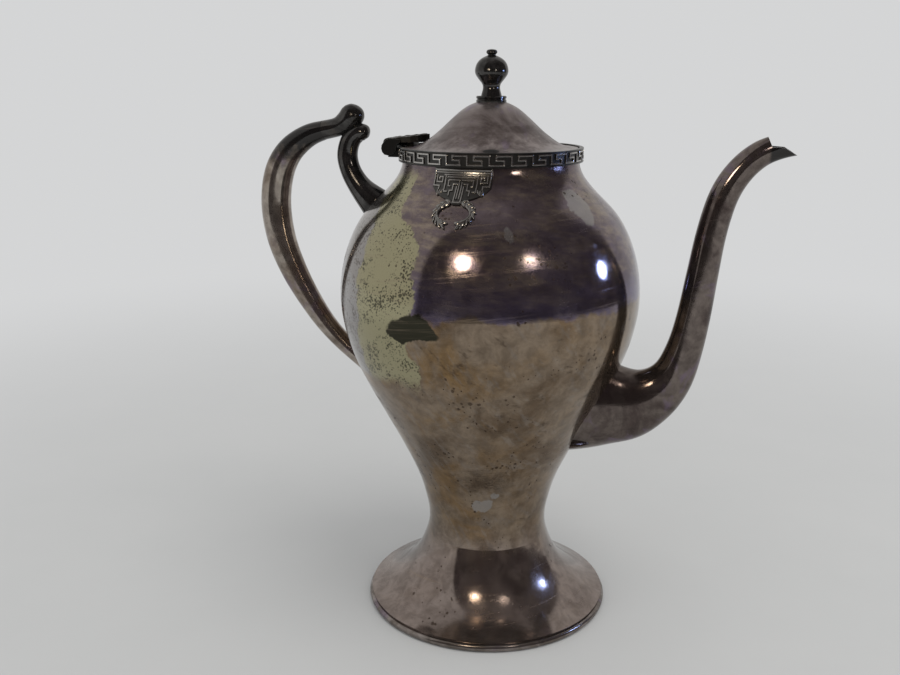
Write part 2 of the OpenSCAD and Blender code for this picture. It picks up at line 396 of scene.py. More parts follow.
def cut(piece: Piece, cutter: Piece) -> None:
    """Takes the cutter's space away from the piece."""
    apply(piece, "BOOLEAN", object=cutter, operation="DIFFERENCE", solver="EXACT")


def discard(*pieces: Piece) -> None:
    """Removes scaffolding pieces."""
    for piece in pieces:
        mesh = piece.data
        bpy.data.objects.remove(piece)
        bpy.data.meshes.remove(mesh)


def joined(name: str, pieces: list[Piece]) -> Piece:
    """Joins pieces into one.

    Args:
        name: of the joined piece.
        pieces: what it is made of.

    Returns:
        The joined piece.
    """
    only(*pieces)
    if len(pieces) > 1:
        bpy.ops.object.join()
    piece = bpy.context.object
    piece.name = name
    piece.data.name = name
    leave_edit()
    return piece


def copied(piece: Piece, place: Matrix) -> Piece:
    """A copy of the piece with its own mesh, moved there."""
    twin = piece.copy()
    twin.data = piece.data.copy()
    twin.data.transform(place)
    bpy.context.scene.collection.objects.link(twin)
    return twin


def draw_line(points: Sequence[Vector]) -> None:
    """Turns the open primitive into a line: it shrinks to a point, which is extruded along.

    Args:
        points: where the line goes, in millimetres.
    """
    bpy.ops.mesh.merge(type="CENTER")
    bpy.ops.transform.translate(value=points[0] * MM)
    for here, after in zip(points, points[1:]):
        bpy.ops.mesh.extrude_vertices_move(
            TRANSFORM_OT_translate={"value": (after - here) * MM}
        )


def turned(name: str, outline: Line, steps: int = TURN_STEPS) -> Piece:
    """A piece turned on the pot's axis.

    Args:
        name: of the piece.
        outline: its (radius, height) points; unless both ends are on the axis, they are joined.
        steps: how many facets it has round the axis.

    Returns:
        The turned piece.
    """
    on_axis = outline[0][0] == 0 and outline[-1][0] == 0
    ring = list(outline) + ([] if on_axis else [outline[0]])
    piece = start(name, bpy.ops.mesh.primitive_plane_add, size=MM)
    draw_line([Vector((radius, 0, height)) for radius, height in ring])
    weld()
    bpy.ops.mesh.spin(steps=steps, angle=2 * math.pi, center=(0, 0, 0), axis=(0, 0, 1))
    return close_up(piece)


def ring_place(station: Sequence[float], turn: float, angle: float) -> Vector:
    """A point on the ring round a station of a swept piece, in metres.

    Args:
        station: x, z, half the depth and half the width there.
        turn: the direction of the centre line, in radians.
        angle: where on the ring, in radians.

    Returns:
        The point.
    """
    x, z, depth, width = station
    rise = depth * math.cos(angle)
    return Vector((
        x - rise * math.sin(turn), width * math.sin(angle), z + rise * math.cos(turn)
    )) * MM


def ring_angles(sides: int) -> list[float]:
    """The angles of a swept ring, in radians: even, with one more close to each seam."""
    close_by = 0.04
    half = [math.pi * k / sides for k in range(1, sides)]
    far = [0.0, close_by, *half, math.pi - close_by]
    return far + [angle + math.pi for angle in far]


def drawn(name: str, rings: int, sides: int, rule: Callable[[int, int], Vector]) -> Piece:
    """A tube drawn ring by ring.

    Args:
        name: of the tube.
        rings: how many rings it has.
        sides: how many points a ring has.
        rule: takes a ring's number and a point's number to the point's place, in metres.

    Returns:
        The tube, in edit mode, with open ends.
    """
    piece = start(name, bpy.ops.mesh.primitive_circle_add, vertices=sides, radius=MM)
    mesh = bmesh.from_edit_mesh(piece.data)
    side = mesh.verts.layers.int.new("side")
    mesh.verts.ensure_lookup_table()
    for k, vertex in enumerate(mesh.verts):
        vertex[side] = k
    for i in range(rings):
        if i:
            bpy.ops.mesh.extrude_edges_move()
            mesh = bmesh.from_edit_mesh(piece.data)
            side = mesh.verts.layers.int["side"]
        for vertex in mesh.verts:
            if vertex.select:
                vertex.co = rule(i, vertex[side])
    bmesh.update_edit_mesh(piece.data)
    return piece


def swept(name: str, line: list[Station], sides: int, capped: bool) -> Piece:
    """A tube or bar along a line in the plane of the spout and handle.

    Args:
        name: of the piece.
        line: its stations.
        sides: how many sides half of a ring has.
        capped: whether its two ends are closed.

    Returns:
        The swept piece.
    """
    path = fair(smooth(line, SWEEP_STEPS), 3)
    angles = ring_angles(sides)
    last = len(path) - 1

    def rule(i: int, k: int) -> Vector:
        """Where point k of ring i is."""
        before, after = path[max(0, i - 1)], path[min(last, i + 1)]
        turn = math.atan2(after[1] - before[1], after[0] - before[0])
        return ring_place(path[i], turn, angles[k])

    piece = drawn(name, len(path), len(angles), rule)
    if capped:
        fill_ends()
    return close_up(piece)


def prism(name: str, outline: Line, half_width: float) -> Piece:
    """A block with an outline in the plane of the spout and handle.

    Args:
        name: of the piece.
        outline: (x, z) points round it.
        half_width: how far it reaches to each side.

    Returns:
        The block.
    """
    piece = start(name, bpy.ops.mesh.primitive_plane_add, size=MM)
    draw_line([Vector((x, -half_width, z)) for x, z in [*outline, outline[0]]])
    weld()
    bpy.ops.mesh.edge_face_add()
    push(0, 2 * half_width, 0)
    return close_up(piece)


def halved(piece: Piece, name: str, far_side: bool) -> Piece:
    """One half of a piece, cut along the plane of the spout and handle.

    Args:
        piece: the whole; it stays as it is.
        name: of the half.
        far_side: whether to keep the half at +Y.

    Returns:
        The half, closed along the cut.
    """
    half = copied(piece, Matrix.Identity(4))
    half.name = name
    only(half)
    bpy.ops.object.mode_set(mode="EDIT")
    bpy.ops.mesh.select_all(action="SELECT")
    bpy.ops.mesh.bisect(
        plane_co=(0, 0, 0), plane_no=(0, 1, 0), use_fill=True,
        clear_inner=far_side, clear_outer=not far_side, threshold=1e-6,
    )
    return close_up(half)


def flat_plate(name: str, outline: Line, pitch: float) -> Piece:
    """A flat plate in the plane z = 0, cut into small faces so that it can be curved.

    Args:
        name: of the plate.
        outline: (x, y) points round it, in millimetres.
        pitch: the size of its faces.

    Returns:
        The plate, in edit mode.
    """
    piece = start(name, bpy.ops.mesh.primitive_plane_add, size=MM)
    draw_line([Vector((x, y, 0)) for x, y in [*outline, outline[0]]])
    weld()
    bpy.ops.mesh.edge_face_add()
    for axis in (0, 1):
        normal = (1 - axis, axis, 0)
        low = min(point[axis] for point in outline)
        high = max(point[axis] for point in outline)
        for k in range(1, math.ceil((high - low) / pitch)):
            place = tuple((low + k * pitch) * MM * n for n in normal)
            bpy.ops.mesh.select_all(action="SELECT")
            bpy.ops.mesh.bisect(plane_co=place, plane_no=normal)
    bpy.ops.mesh.select_all(action="SELECT")
    return piece


def traced(name: str, points: Line, width: float, height: float) -> Piece:
    """A raised line that follows a square path in the plane z = 0.

    Args:
        name: of the line.
        points: (x, y) corners of the path, each straight across or up from the one before.
        width: of the line.
        height: how far it is raised.

    Returns:
        The raised line.
    """
    at = Vector((*points[0], 0)) * MM
    piece = start(name, bpy.ops.mesh.primitive_plane_add, size=width * MM)
    bpy.ops.transform.translate(value=at)
    for here, after in zip(points, points[1:]):
        path = Vector((after[0] - here[0], after[1] - here[1], 0)) * MM
        way = path.normalized()
        last = Vector((*here, 0)) * MM
        mesh = bmesh.from_edit_mesh(piece.data)
        bpy.ops.mesh.select_all(action="DESELECT")
        edge = min(
            mesh.edges,
            key=lambda e: (sum((v.co for v in e.verts), Vector()) / 2
                           - last - way * width * MM / 2).length,
        )
        edge.select_set(True)
        bmesh.update_edit_mesh(piece.data)
        plain = path.length - width * MM
        cuts = max(1, round(plain / (1.2 * MM)))
        for step in [plain / cuts] * cuts + [width * MM]:
            bpy.ops.mesh.extrude_edges_move(TRANSFORM_OT_translate={"value": way * step})
    weld()
    push(0, 0, height)
    close_up(piece)
    apply(piece, "BEVEL", width=0.1 * MM, segments=2, limit_method="ANGLE")
    return piece


def curved(piece: Piece, rule: Callable[[Vector], Vector]) -> Piece:
    """Lays a flat piece on a curved surface.

    Args:
        piece: the flat piece.
        rule: takes a point of the flat piece to its place, both in millimetres.

    Returns:
        The piece.
    """
    leave_edit()
    for vertex in piece.data.vertices:
        vertex.co = rule(vertex.co / MM) * MM
    return close_up(piece)


def leaf(name: str, length: float, width: float, height: float) -> Piece:
    """A small laurel leaf that lies in the plane z = 0 and points along +X.

    Args:
        name: of the leaf.
        length, width, height: its sizes.

    Returns:
        The leaf, its stalk end at the origin.
    """
    piece = start(name, bpy.ops.mesh.primitive_uv_sphere_add, segments=10, ring_count=6, radius=1)
    aim_along_x()
    mesh = bmesh.from_edit_mesh(piece.data)
    for vertex in mesh.verts:
        along = (vertex.co.x + 1) / 2
        pinch = 1 - 0.55 * along * along
        vertex.co = Vector((
            along * length,
            vertex.co.y * width / 2 * pinch,
            max(vertex.co.z, -0.3) * height * (1 - 0.25 * along),
        )) * MM
    bmesh.update_edit_mesh(piece.data)
    return close_up(piece, 50)


# ---------------------------------------------------------------- finishes


class Graph:
    """A node tree that is being filled in."""

    def __init__(self, tree: bpy.types.NodeTree) -> None:
        """Keeps the tree."""
        self.tree = tree

    def node(self, kind: str, **settings: object) -> bpy.types.Node:
        """Adds a node with these settings."""
        node = self.tree.nodes.new(kind)
        for name, value in settings.items():
            setattr(node, name, value)
        return node

    def feed(self, socket: Socket, value: object) -> None:
        """Links a socket to another, or sets its value."""
        if isinstance(value, bpy.types.NodeSocket):
            self.tree.links.new(value, socket)
        else:
            socket.default_value = value

    def math(self, operation: str, a: object, b: object = 0.0, clamp: bool = False) -> Socket:
        """The result of one sum."""
        node = self.node("ShaderNodeMath", operation=operation, use_clamp=clamp)
        self.feed(node.inputs[0], a)
        self.feed(node.inputs[1], b)
        return node.outputs[0]

    def times(self, a: object, b: object) -> Socket:
        """The two multiplied."""
        return self.math("MULTIPLY", a, b)

    def plus(self, a: object, b: object) -> Socket:
        """The two added."""
        return self.math("ADD", a, b)

    def minus(self, a: object, b: object) -> Socket:
        """The first less the second."""
        return self.math("SUBTRACT", a, b)

    def rest(self, a: object) -> Socket:
        """What it leaves of 1."""
        return self.math("SUBTRACT", 1.0, a)

    def most(self, a: object, b: object) -> Socket:
        """The greater of the two."""
        return self.math("MAXIMUM", a, b)

    def axes(self, vector: Socket) -> tuple[Socket, Socket, Socket]:
        """The vector's three values."""
        node = self.node("ShaderNodeSeparateXYZ")
        self.feed(node.inputs[0], vector)
        return tuple(node.outputs)

    def found(self, kind: str) -> bpy.types.Node:
        """The node of this kind that the tree has from the start."""
        return next(node for node in self.tree.nodes if node.type == kind)

    def bump(self, height: Socket, strength: float, distance: float) -> Socket:
        """The normal of a fine relief; the distance is in millimetres."""
        node = self.node("ShaderNodeBump")
        node.inputs["Strength"].default_value = strength
        node.inputs["Distance"].default_value = distance * MM
        self.feed(node.inputs["Height"], height)
        return node.outputs["Normal"]

    def mapped(self, vector: Socket, scale: Sequence[float], turn: Sequence[float]) -> Socket:
        """The vector turned first and stretched then."""
        turned_first = self.node("ShaderNodeMapping")
        self.feed(turned_first.inputs["Vector"], vector)
        turned_first.inputs["Rotation"].default_value = turn
        stretched = self.node("ShaderNodeMapping")
        self.feed(stretched.inputs["Vector"], turned_first.outputs[0])
        stretched.inputs["Scale"].default_value = scale
        return stretched.outputs[0]

    def noise(self, vector: Socket, scale: object, detail: float = 4.0, rough: float = 0.55,
              warp: float = 0.0) -> Socket:
        """A noise value over the surface, about 0.5 on average."""
        node = self.node("ShaderNodeTexNoise")
        self.feed(node.inputs["Vector"], vector)
        self.feed(node.inputs["Scale"], scale)
        node.inputs["Detail"].default_value = detail
        node.inputs["Roughness"].default_value = rough
        node.inputs["Distortion"].default_value = warp
        return node.outputs[0]

    def step(self, value: Socket, low: object, high: object) -> Socket:
        """Rises smoothly from 0 at low to 1 at high."""
        node = self.node("ShaderNodeMapRange", interpolation_type="SMOOTHSTEP")
        self.feed(node.inputs[0], value)
        self.feed(node.inputs[1], low)
        self.feed(node.inputs[2], high)
        return node.outputs[0]

    def between(self, share: Socket, low: float, high: float) -> Socket:
        """The value that is share of the way from low to high."""
        node = self.node("ShaderNodeMapRange")
        self.feed(node.inputs[0], share)
        node.inputs[3].default_value = low
        node.inputs[4].default_value = high
        return node.outputs[0]

    def mix(self, share: object, a: object, b: object, how: str = "MIX") -> Socket:
        """Two colours mixed."""
        node = self.node("ShaderNodeMix", data_type="RGBA", blend_type=how)
        self.feed(node.inputs[0], share)
        self.feed(node.inputs[6], rgba(a))
        self.feed(node.inputs[7], rgba(b))
        return node.outputs[2]

    def patch(self, side: Socket, height: Socket, at: Sequence[float]) -> Socket:
        """One patch on the turned body, as a mask with a torn edge.

        Args:
            side: the direction round the axis, in radians.
            height: above the table, in metres.
            at: the patch's direction in radians, its height, and how far it reaches each way.

        Returns:
            1 in the patch and 0 outside it.
        """
        across = self.math("DIVIDE", self.minus(side, at[0]), at[2])
        rise = self.math("DIVIDE", self.minus(height, at[1]), at[3])
        square = self.plus(self.times(across, across), self.times(rise, rise))
        return self.rest(self.step(square, 0.75, 1.0))

    def place(self, name: str, vector: Socket, **values: float) -> dict[str, Socket]:
        """Places a shared effect.

        Args:
            name: of the effect's node group.
            vector: the coordinates that it reads.
            values: its settings, by the names of its inputs.

        Returns:
            Its outputs, by name.
        """
        node = self.node("ShaderNodeGroup", node_tree=bpy.data.node_groups[name])
        self.feed(node.inputs["Vector"], vector)
        for key, value in values.items():
            node.inputs[key].default_value = value
        return {socket.name: socket for socket in node.outputs}


def rgba(colour: object) -> object:
    """A colour with its fourth value, or a socket as it is."""
    if isinstance(colour, bpy.types.NodeSocket) or len(colour) == 4:
        return colour
    return (*colour, 1.0)


def new_effect(name: str, settings: dict[str, float], outputs: Sequence[str]) -> tuple[
    Graph, bpy.types.Node, bpy.types.Node
]:
    """Starts an effect that several finishes share, as a node group.

    Args:
        name: of the effect.
        settings: its inputs with their usual values.
        outputs: the names of the values that it puts out.

    Returns:
        Its graph, its inputs' node and its outputs' node.
    """
    tree = bpy.data.node_groups.new(name, "ShaderNodeTree")
    tree.interface.new_socket("Vector", in_out="INPUT", socket_type="NodeSocketVector")
    for key, value in settings.items():
        socket = tree.interface.new_socket(key, in_out="INPUT", socket_type="NodeSocketFloat")
        socket.default_value = value
    for key in outputs:
        tree.interface.new_socket(key, in_out="OUTPUT", socket_type="NodeSocketFloat")
    graph = Graph(tree)
    return graph, graph.node("NodeGroupInput"), graph.node("NodeGroupOutput")


def cloud_effect() -> None:
    """Tarnish clouds: broad blotches with soft torn edges, and a finer mottle."""
    graph, given, made = new_effect("clouds", {"Scale": 30.0, "Edge": 0.08}, ["Blotch", "Mottle"])
    vector, scale = given.outputs["Vector"], given.outputs["Scale"]
    broad = graph.noise(vector, scale, 6, 0.6, 0.6)
    half = graph.times(given.outputs["Edge"], 0.5)
    low = graph.minus(0.52, half)
    graph.feed(made.inputs["Blotch"], graph.step(broad, low, graph.plus(0.52, half)))
    fine = graph.noise(vector, graph.times(scale, 5.0), 8, 0.7, 0.4)
    graph.feed(made.inputs["Mottle"], graph.step(fine, 0.32, 0.68))


def wipe_effect() -> None:
    """Wipe marks: fine, nearly level scratches in two directions, thicker in some places."""
    graph, given, made = new_effect("wipes", {"Fineness": 1.0, "Amount": 0.5}, ["Marks", "Height"])
    vector = given.outputs["Vector"]
    stretched = []
    for turn, stretch in (((0.05, 0.12, 0.0), 900.0), ((-0.3, -0.1, 0.4), 1400.0)):
        lines = graph.mapped(vector, (22.0, 22.0, stretch), turn)
        stretched.append(graph.noise(lines, given.outputs["Fineness"], 3, 0.6))
    patches = graph.step(graph.noise(vector, 55.0, 3, 0.5), 0.4, 0.68)
    first = graph.step(stretched[0], 0.55, 0.72)
    second = graph.step(stretched[1], 0.6, 0.74)
    both = graph.most(first, graph.times(second, 0.7))
    marks = graph.times(both, graph.math("ADD", 0.25, patches, clamp=True))
    graph.feed(made.inputs["Marks"], graph.times(marks, given.outputs["Amount"]))
    graph.feed(made.inputs["Height"], stretched[0])


def spot_effect() -> None:
    """Tarnish spots: small dark dots that crowd together in places like lichen."""
    graph, given, made = new_effect("spots", {"Scale": 420.0, "Crowding": 0.5}, ["Spots"])
    vector = given.outputs["Vector"]
    cells = graph.node("ShaderNodeTexVoronoi", feature="F1")
    graph.feed(cells.inputs["Vector"], vector)
    graph.feed(cells.inputs["Scale"], given.outputs["Scale"])
    crowd = graph.noise(vector, graph.times(given.outputs["Scale"], 0.11), 6, 0.7, 0.8)
    room = graph.minus(given.outputs["Crowding"], crowd)
    reach = graph.times(graph.most(room, 0.0), 3.2)
    inner = graph.times(reach, 0.55)
    away = graph.step(cells.outputs["Distance"], inner, graph.plus(reach, 0.001))
    graph.feed(made.inputs["Spots"], graph.rest(away))


def new_metal(name: str, bare: float) -> tuple[Graph, Socket, bpy.types.Node, Material]:
    """Starts a metal finish.

    Args:
        name: of the material.
        bare: how metallic it is, from 0 to 1.

    Returns:
        Its graph, its coordinates, its Principled shader and the material.
    """
    material = bpy.data.materials.new(name)
    material.use_nodes = True
    graph = Graph(material.node_tree)
    shader = graph.found("BSDF_PRINCIPLED")
    shader.inputs["Metallic"].default_value = bare
    place = graph.node("ShaderNodeTexCoord").outputs["Object"]
    return graph, place, shader, material


@dataclass(frozen=True)
class Silver:
    """Tarnished silver plate, from a mirror under wipe marks to half-matt clouds."""

    name: str
    clean: Colour
    tarnish: Colour
    deep: Colour
    tint: Colour = (0.2, 0.15, 0.22)
    # near black, used for black tarnish and, at the spout's open beak, for painted shade
    black_tarnish_and_shade: Colour = (0.045, 0.043, 0.042)
    cloud_scale: float = 28.0
    cloud_edge: float = 0.16
    spot_scale: float = 420.0
    crowding: float = 0.42
    gloss: float = 0.09
    matt: float = 0.3
    marks: float = 0.5
    bare: float = 0.9
    heavy_from: float = 1.0
    heavy_to: float = 1.0
    black_above: float = 1.0
    # x in metres past which the metal is painted near black: painted shade for the dark inside of
    # the spout's open beak
    painted_shade_beyond: float = 1.0
    soot_patches: tuple[Patch, ...] = ()

    def build(self) -> Material:
        """The finish as a material."""
        graph, place, shader, material = new_metal(self.name, self.bare)
        clouds = graph.place("clouds", place, Scale=self.cloud_scale, Edge=self.cloud_edge)
        colour = graph.mix(clouds["Blotch"], self.clean, self.tarnish)
        dirt = graph.times(clouds["Mottle"], 0.55)
        colour = graph.mix(dirt, colour, self.deep)
        film = graph.step(graph.noise(place, 70.0, 4, 0.6, 1.0), 0.55, 0.68)
        colour = graph.mix(graph.times(film, 0.5), colour, self.tint)
        x, y, z = graph.axes(place)
        rise = graph.plus(z, graph.times(clouds["Mottle"], 0.006))
        heavy = graph.minus(graph.step(rise, self.heavy_from, self.heavy_from + 0.006),
                           graph.step(rise, self.heavy_to, self.heavy_to + 0.005))
        heavy = graph.times(heavy, graph.between(clouds["Blotch"], 0.35, 0.85))
        colour = graph.mix(heavy, colour, self.deep)
        black_tarnish_and_shade_mask = graph.step(rise, self.black_above, self.black_above + 0.012)
        # painted shade: past that x the spout's tip goes near black, inside and out, for the dark
        # inside of the open beak
        beak_shade = graph.step(x, self.painted_shade_beyond, self.painted_shade_beyond + 0.0015)
        black_tarnish_and_shade_mask = graph.most(black_tarnish_and_shade_mask, beak_shade)
        turn = graph.math("ARCTAN2", y, x)
        for at in self.soot_patches:
            black_tarnish_and_shade_mask = graph.most(black_tarnish_and_shade_mask, graph.patch(turn, z, at))
        # near black over the masks: above a height, in listed patches, and as painted shade at the
        # spout's beak
        colour = graph.mix(black_tarnish_and_shade_mask, colour, self.black_tarnish_and_shade)
        self.finish(graph, place, shader, colour, clouds)
        return material

    def finish(self, graph: Graph, place: Socket, shader: bpy.types.Node, colour: Socket,
               clouds: dict[str, Socket]) -> None:
        """Adds spots, wipe marks, roughness and the fine relief.

        Args:
            graph: of the material.
            place: its coordinates.
            shader: its Principled shader.
            colour: the metal's colour so far.
            clouds: the outputs of its clouds effect.
        """
        spots = graph.place("spots", place, Scale=self.spot_scale, Crowding=self.crowding)
        wipes = graph.place("wipes", place, Amount=self.marks)
        colour = graph.mix(graph.times(spots["Spots"], 0.75), colour, self.deep)
        colour = graph.mix(graph.times(wipes["Marks"], 0.35), colour, self.clean)
        graph.feed(shader.inputs["Base Color"], colour)
        rough = graph.times(clouds["Blotch"], clouds["Mottle"])
        rough = graph.between(rough, self.gloss, self.matt)
        rough = graph.plus(rough, graph.times(wipes["Marks"], 0.16))
        rough = graph.plus(rough, graph.times(spots["Spots"], 0.2))
        graph.feed(shader.inputs["Roughness"], rough)
        relief = graph.plus(graph.times(wipes["Marks"], -0.6), clouds["Mottle"])
        relief = graph.minus(relief, spots["Spots"])
        graph.feed(shader.inputs["Normal"], graph.bump(relief, 0.35, 0.02))


@dataclass(frozen=True)
class BodySilver(Silver):
    """The body's plate: golden brown below, purple brown above, and at the left front a khaki
    panel that is partly a painted reflection of a lit pale wall.
    """

    upper: Colour = (0.17, 0.135, 0.15)
    smoke: Colour = (0.33, 0.27, 0.215)
    # the left front panel's khaki, a painted reflection of a lit pale wall
    khaki: Colour = (0.35, 0.325, 0.205)
    gold: Colour = (0.27, 0.16, 0.06)
    rubbed: Colour = (0.3, 0.26, 0.225)
    foot: Colour = (0.31, 0.26, 0.24)
    blue: Colour = (0.13, 0.12, 0.27)
    pale: Colour = (0.31, 0.295, 0.285)
    black_tarnish_and_shade: Colour = (0.035, 0.033, 0.022)
    girth_zone: Pair = (0.1468, 0.1492)
    foot_zone: Pair = (0.024, 0.046)
    film_zone: Pair = (0.153, 0.168)
    golden_sides: Pair = (-1.5, -1.1)
    panel_low: Pair = (0.113, 0.12)
    panel_high: Pair = (0.196, 0.2)
    panel_lean: Pair = (0.168, 0.198)
    panel_edge: Pair = (-1.82, -2.2)
    panel_grey: Pair = (0.46, 0.5)
    panel_end: Pair = (0.84, 0.88)
    pale_patches: tuple[Patch, ...] = (
        (-0.5, 0.1885, 0.13, 0.0075), (-1.2, 0.1795, 0.05, 0.003), (-1.42, 0.0558, 0.15, 0.0035),
        (-1.26, 0.0605, 0.06, 0.0018), (0.9, 0.172, 0.2, 0.006), (2.5, 0.09, 0.16, 0.007),
    )
    soot_patches: tuple[Patch, ...] = (
        (-1.78, 0.1435, 0.2, 0.0052), (-1.9, 0.1405, 0.1, 0.0035), (1.7, 0.15, 0.22, 0.005),
    )

    def build(self) -> Material:
        """The finish as a material."""
        graph, place, shader, material = new_metal(self.name, self.bare)
        clouds = graph.place("clouds", place, Scale=self.cloud_scale, Edge=self.cloud_edge)
        x, y, z = graph.axes(place)
        ragged = graph.minus(graph.noise(place, 60.0, 7, 0.65), 0.5)
        height = graph.plus(z, graph.times(ragged, 0.016))
        turn = graph.math("ARCTAN2", y, x)
        side = graph.plus(turn, graph.times(ragged, 0.3))
        high = graph.step(height, *self.girth_zone)
        colour = self.lower_colour(graph, place, (side, height), clouds)
        colour = graph.mix(high, colour, self.upper_colour(graph, place, height, clouds))
        colour = self.panel(graph, place, (side, height), colour)
        for at in self.pale_patches:
            mask = graph.patch(side, height, at)
            colour = graph.mix(graph.times(mask, 0.7), colour, self.pale)
        for at in self.soot_patches:
            colour = graph.mix(graph.patch(side, height, at), colour, self.black_tarnish_and_shade)
        self.finish(graph, place, shader, colour, clouds)
        return material

    def lower_colour(self, graph: Graph, place: Socket, where: tuple[Socket, Socket],
                     clouds: dict[str, Socket]) -> Socket:
        """The colour below the girth: golden at the left front, greyer to the right.

        Args:
            graph: of the material.
            place: its coordinates.
            where: the direction round the axis and the height, both with torn edges.
            clouds: the outputs of its clouds effect.

        Returns:
            The colour.
        """
        colour = graph.mix(clouds["Blotch"], self.clean, self.tarnish)
        side, height = where
        golden = graph.step(graph.noise(place, 34.0, 5, 0.6, 0.8), 0.42, 0.62)
        left = graph.rest(graph.step(side, *self.golden_sides))
        golden = graph.times(golden, graph.between(left, 0.25, 0.72))
        colour = graph.mix(golden, colour, self.gold)
        rubs = graph.noise(graph.mapped(place, (6.0, 3.0, 1.0), (0.1, 0.5, 0.2)), 48.0, 7, 0.7)
        colour = graph.mix(graph.times(graph.step(rubs, 0.5, 0.66), 0.5), colour,
                           self.rubbed)
        stains = graph.noise(graph.mapped(place, (2.6, 1.5, 1.0), (0.0, 0.95, 0.3)), 60.0, 8, 0.74)
        colour = graph.mix(graph.times(graph.step(stains, 0.56, 0.7), 0.8), colour,
                           self.deep)
        foot = graph.rest(graph.step(height, *self.foot_zone))
        colour = graph.mix(graph.times(foot, 0.85), colour, self.foot)
        return graph.mix(graph.times(clouds["Mottle"], 0.5), colour, self.deep)

    def upper_colour(self, graph: Graph, place: Socket, height: Socket,
                     clouds: dict[str, Socket]) -> Socket:
        """The colour above the girth: dark, with smoky level streaks and a blue film.

        Args:
            graph: of the material.
            place: its coordinates.
            height: with a torn edge to its zones.
            clouds: the outputs of its clouds effect.

        Returns:
            The colour.
        """
        streaks = graph.noise(graph.mapped(place, (1, 1, 3.4), (0.12, -0.1, 0)), 52.0, 9, 0.74)
        colour = graph.mix(graph.step(streaks, 0.42, 0.66), self.upper, self.smoke)
        film = graph.step(graph.noise(place, 15.0, 3, 0.5, 1.5), 0.48, 0.62)
        low = graph.rest(graph.step(height, *self.film_zone))
        film = graph.most(film, graph.times(low, 1.8))
        colour = graph.mix(graph.times(film, 0.22), colour, self.blue)
        return graph.mix(graph.times(clouds["Mottle"], 0.4), colour, self.deep)

    def panel(self, graph: Graph, place: Socket, where: tuple[Socket, Socket],
              colour: Socket) -> Socket:
        """The khaki panel at the left front, with lichen-like dots and a crackled grey far side:
        the khaki and grey paint the reflection of a lit pale wall, the dots and crackle are
        tarnish.

        Args:
            graph: of the material.
            place: its coordinates.
            where: the direction round the axis and the height, both with torn edges.
            colour: the metal's colour so far.

        Returns:
            The colour with the panel.
        """
        side, height = where
        edge = graph.between(graph.step(height, *self.panel_lean), *self.panel_edge)
        past = graph.minus(edge, side)
        mask = graph.times(graph.step(past, 0.0, 0.02), graph.step(height, *self.panel_low))
        mask = graph.times(mask, graph.rest(graph.step(height, *self.panel_high)))
        dots = graph.place("spots", place, Scale=1100.0, Crowding=0.6)["Spots"]
        # painted reflection: khaki for the lit pale wall mirrored at the left front, dotted with
        # near-black tarnish
        khaki_reflection_and_tarnish = graph.mix(graph.times(dots, 0.85), self.khaki, self.black_tarnish_and_shade)
        crackle = graph.place("spots", place, Scale=800.0, Crowding=0.64)["Spots"]
        grey = graph.mix(graph.times(crackle, 0.6), self.pale, self.deep)
        khaki_reflection_and_tarnish = graph.mix(graph.step(past, *self.panel_grey), khaki_reflection_and_tarnish, grey)
        near = graph.rest(graph.step(past, *self.panel_end))
        return graph.mix(graph.times(mask, near), colour, khaki_reflection_and_tarnish)


@dataclass(frozen=True)
class Relief:
    """Cast ornament: nearly black in its hollows and rubbed bright where it stands proud."""

    name: str
    hollow: Colour
    rubbed: Colour

    def build(self) -> Material:
        """The finish as a material; it reads how proud each point is from the piece itself."""
        graph, place, shader, material = new_metal(self.name, 1.0)
        proud = graph.node("ShaderNodeAttribute", attribute_name="proud").outputs["Fac"]
        grime = graph.noise(place, 900.0, 5, 0.65)
        rub = graph.math("MULTIPLY", proud, graph.between(grime, 0.35, 1.25), clamp=True)
        colour = graph.mix(rub, self.hollow, self.rubbed)
        graph.feed(shader.inputs["Base Color"], colour)
        graph.feed(shader.inputs["Roughness"], graph.between(rub, 0.3, 0.16))
        graph.feed(shader.inputs["Normal"], graph.bump(grime, 0.5, 0.06))
        return material


def mark_proud(piece: Piece, share: float) -> None:
    """Writes on the piece how proud it stands: 0 in a hollow, 1 where it is rubbed."""
    marks = piece.data.attributes.new("proud", "FLOAT", "POINT")
    marks.data.foreach_set("value", [share] * len(piece.data.vertices))


def dress(piece: Piece, material: Material) -> None:
    """Gives the whole piece one material."""
    piece.data.materials.clear()
    piece.data.materials.append(material)


def settle(piece: Piece, body: Body, slot: Slot, material: Material,
           *nodes: str) -> None:
    """Dresses a finished piece and says what it rides on and stands for.

    Args:
        piece: the finished piece.
        body: what it rides on.
        slot: the record's slot for its finish; not used.
        material: its finish.
        nodes: the nodes that it stands for.
    """
    dress(piece, material)
    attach(piece, body.value)
    if nodes:
        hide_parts(*nodes)
    LOG.info("%s: %d faces", piece.name, len(piece.data.polygons))


# ---------------------------------------------------------------- the sub-assemblies


@dataclass
class Foot:
    """The spun foot and the wire soldered round its rim."""

    rim_fillet: float = 1.6
    ledge_w: float = 1.8

    def build_shell(self) -> Piece:
        """The foot's trumpet-shaped shell."""
        return turned("foot_shell", shell_outline(POT_OUTLINE, WALL, 0, FOOT_END))

    def build_rim(self) -> Piece:
        """The round wire at the foot's edge, with the flat ledge inside it."""
        centre = (FOOT_R - self.rim_fillet, self.rim_fillet)
        bead = circle_points(centre, self.rim_fillet, -80, 90, 14)
        ledge_r = FOOT_R - self.rim_fillet - self.ledge_w
        ledge = [(ledge_r, RIM_H), (ledge_r, 0.0), (centre[0], 0.0)]
        return turned("foot_rim_wire", bead + ledge)

    def make(self, finish: Material, rim_finish: Material) -> None:
        """Builds and dresses the foot's pieces."""
        settle(self.build_shell(), Body.POT, Slot.FOOT, finish, "foot")
        settle(self.build_rim(), Body.POT, Slot.FOOT, rim_finish, "foot_rim")


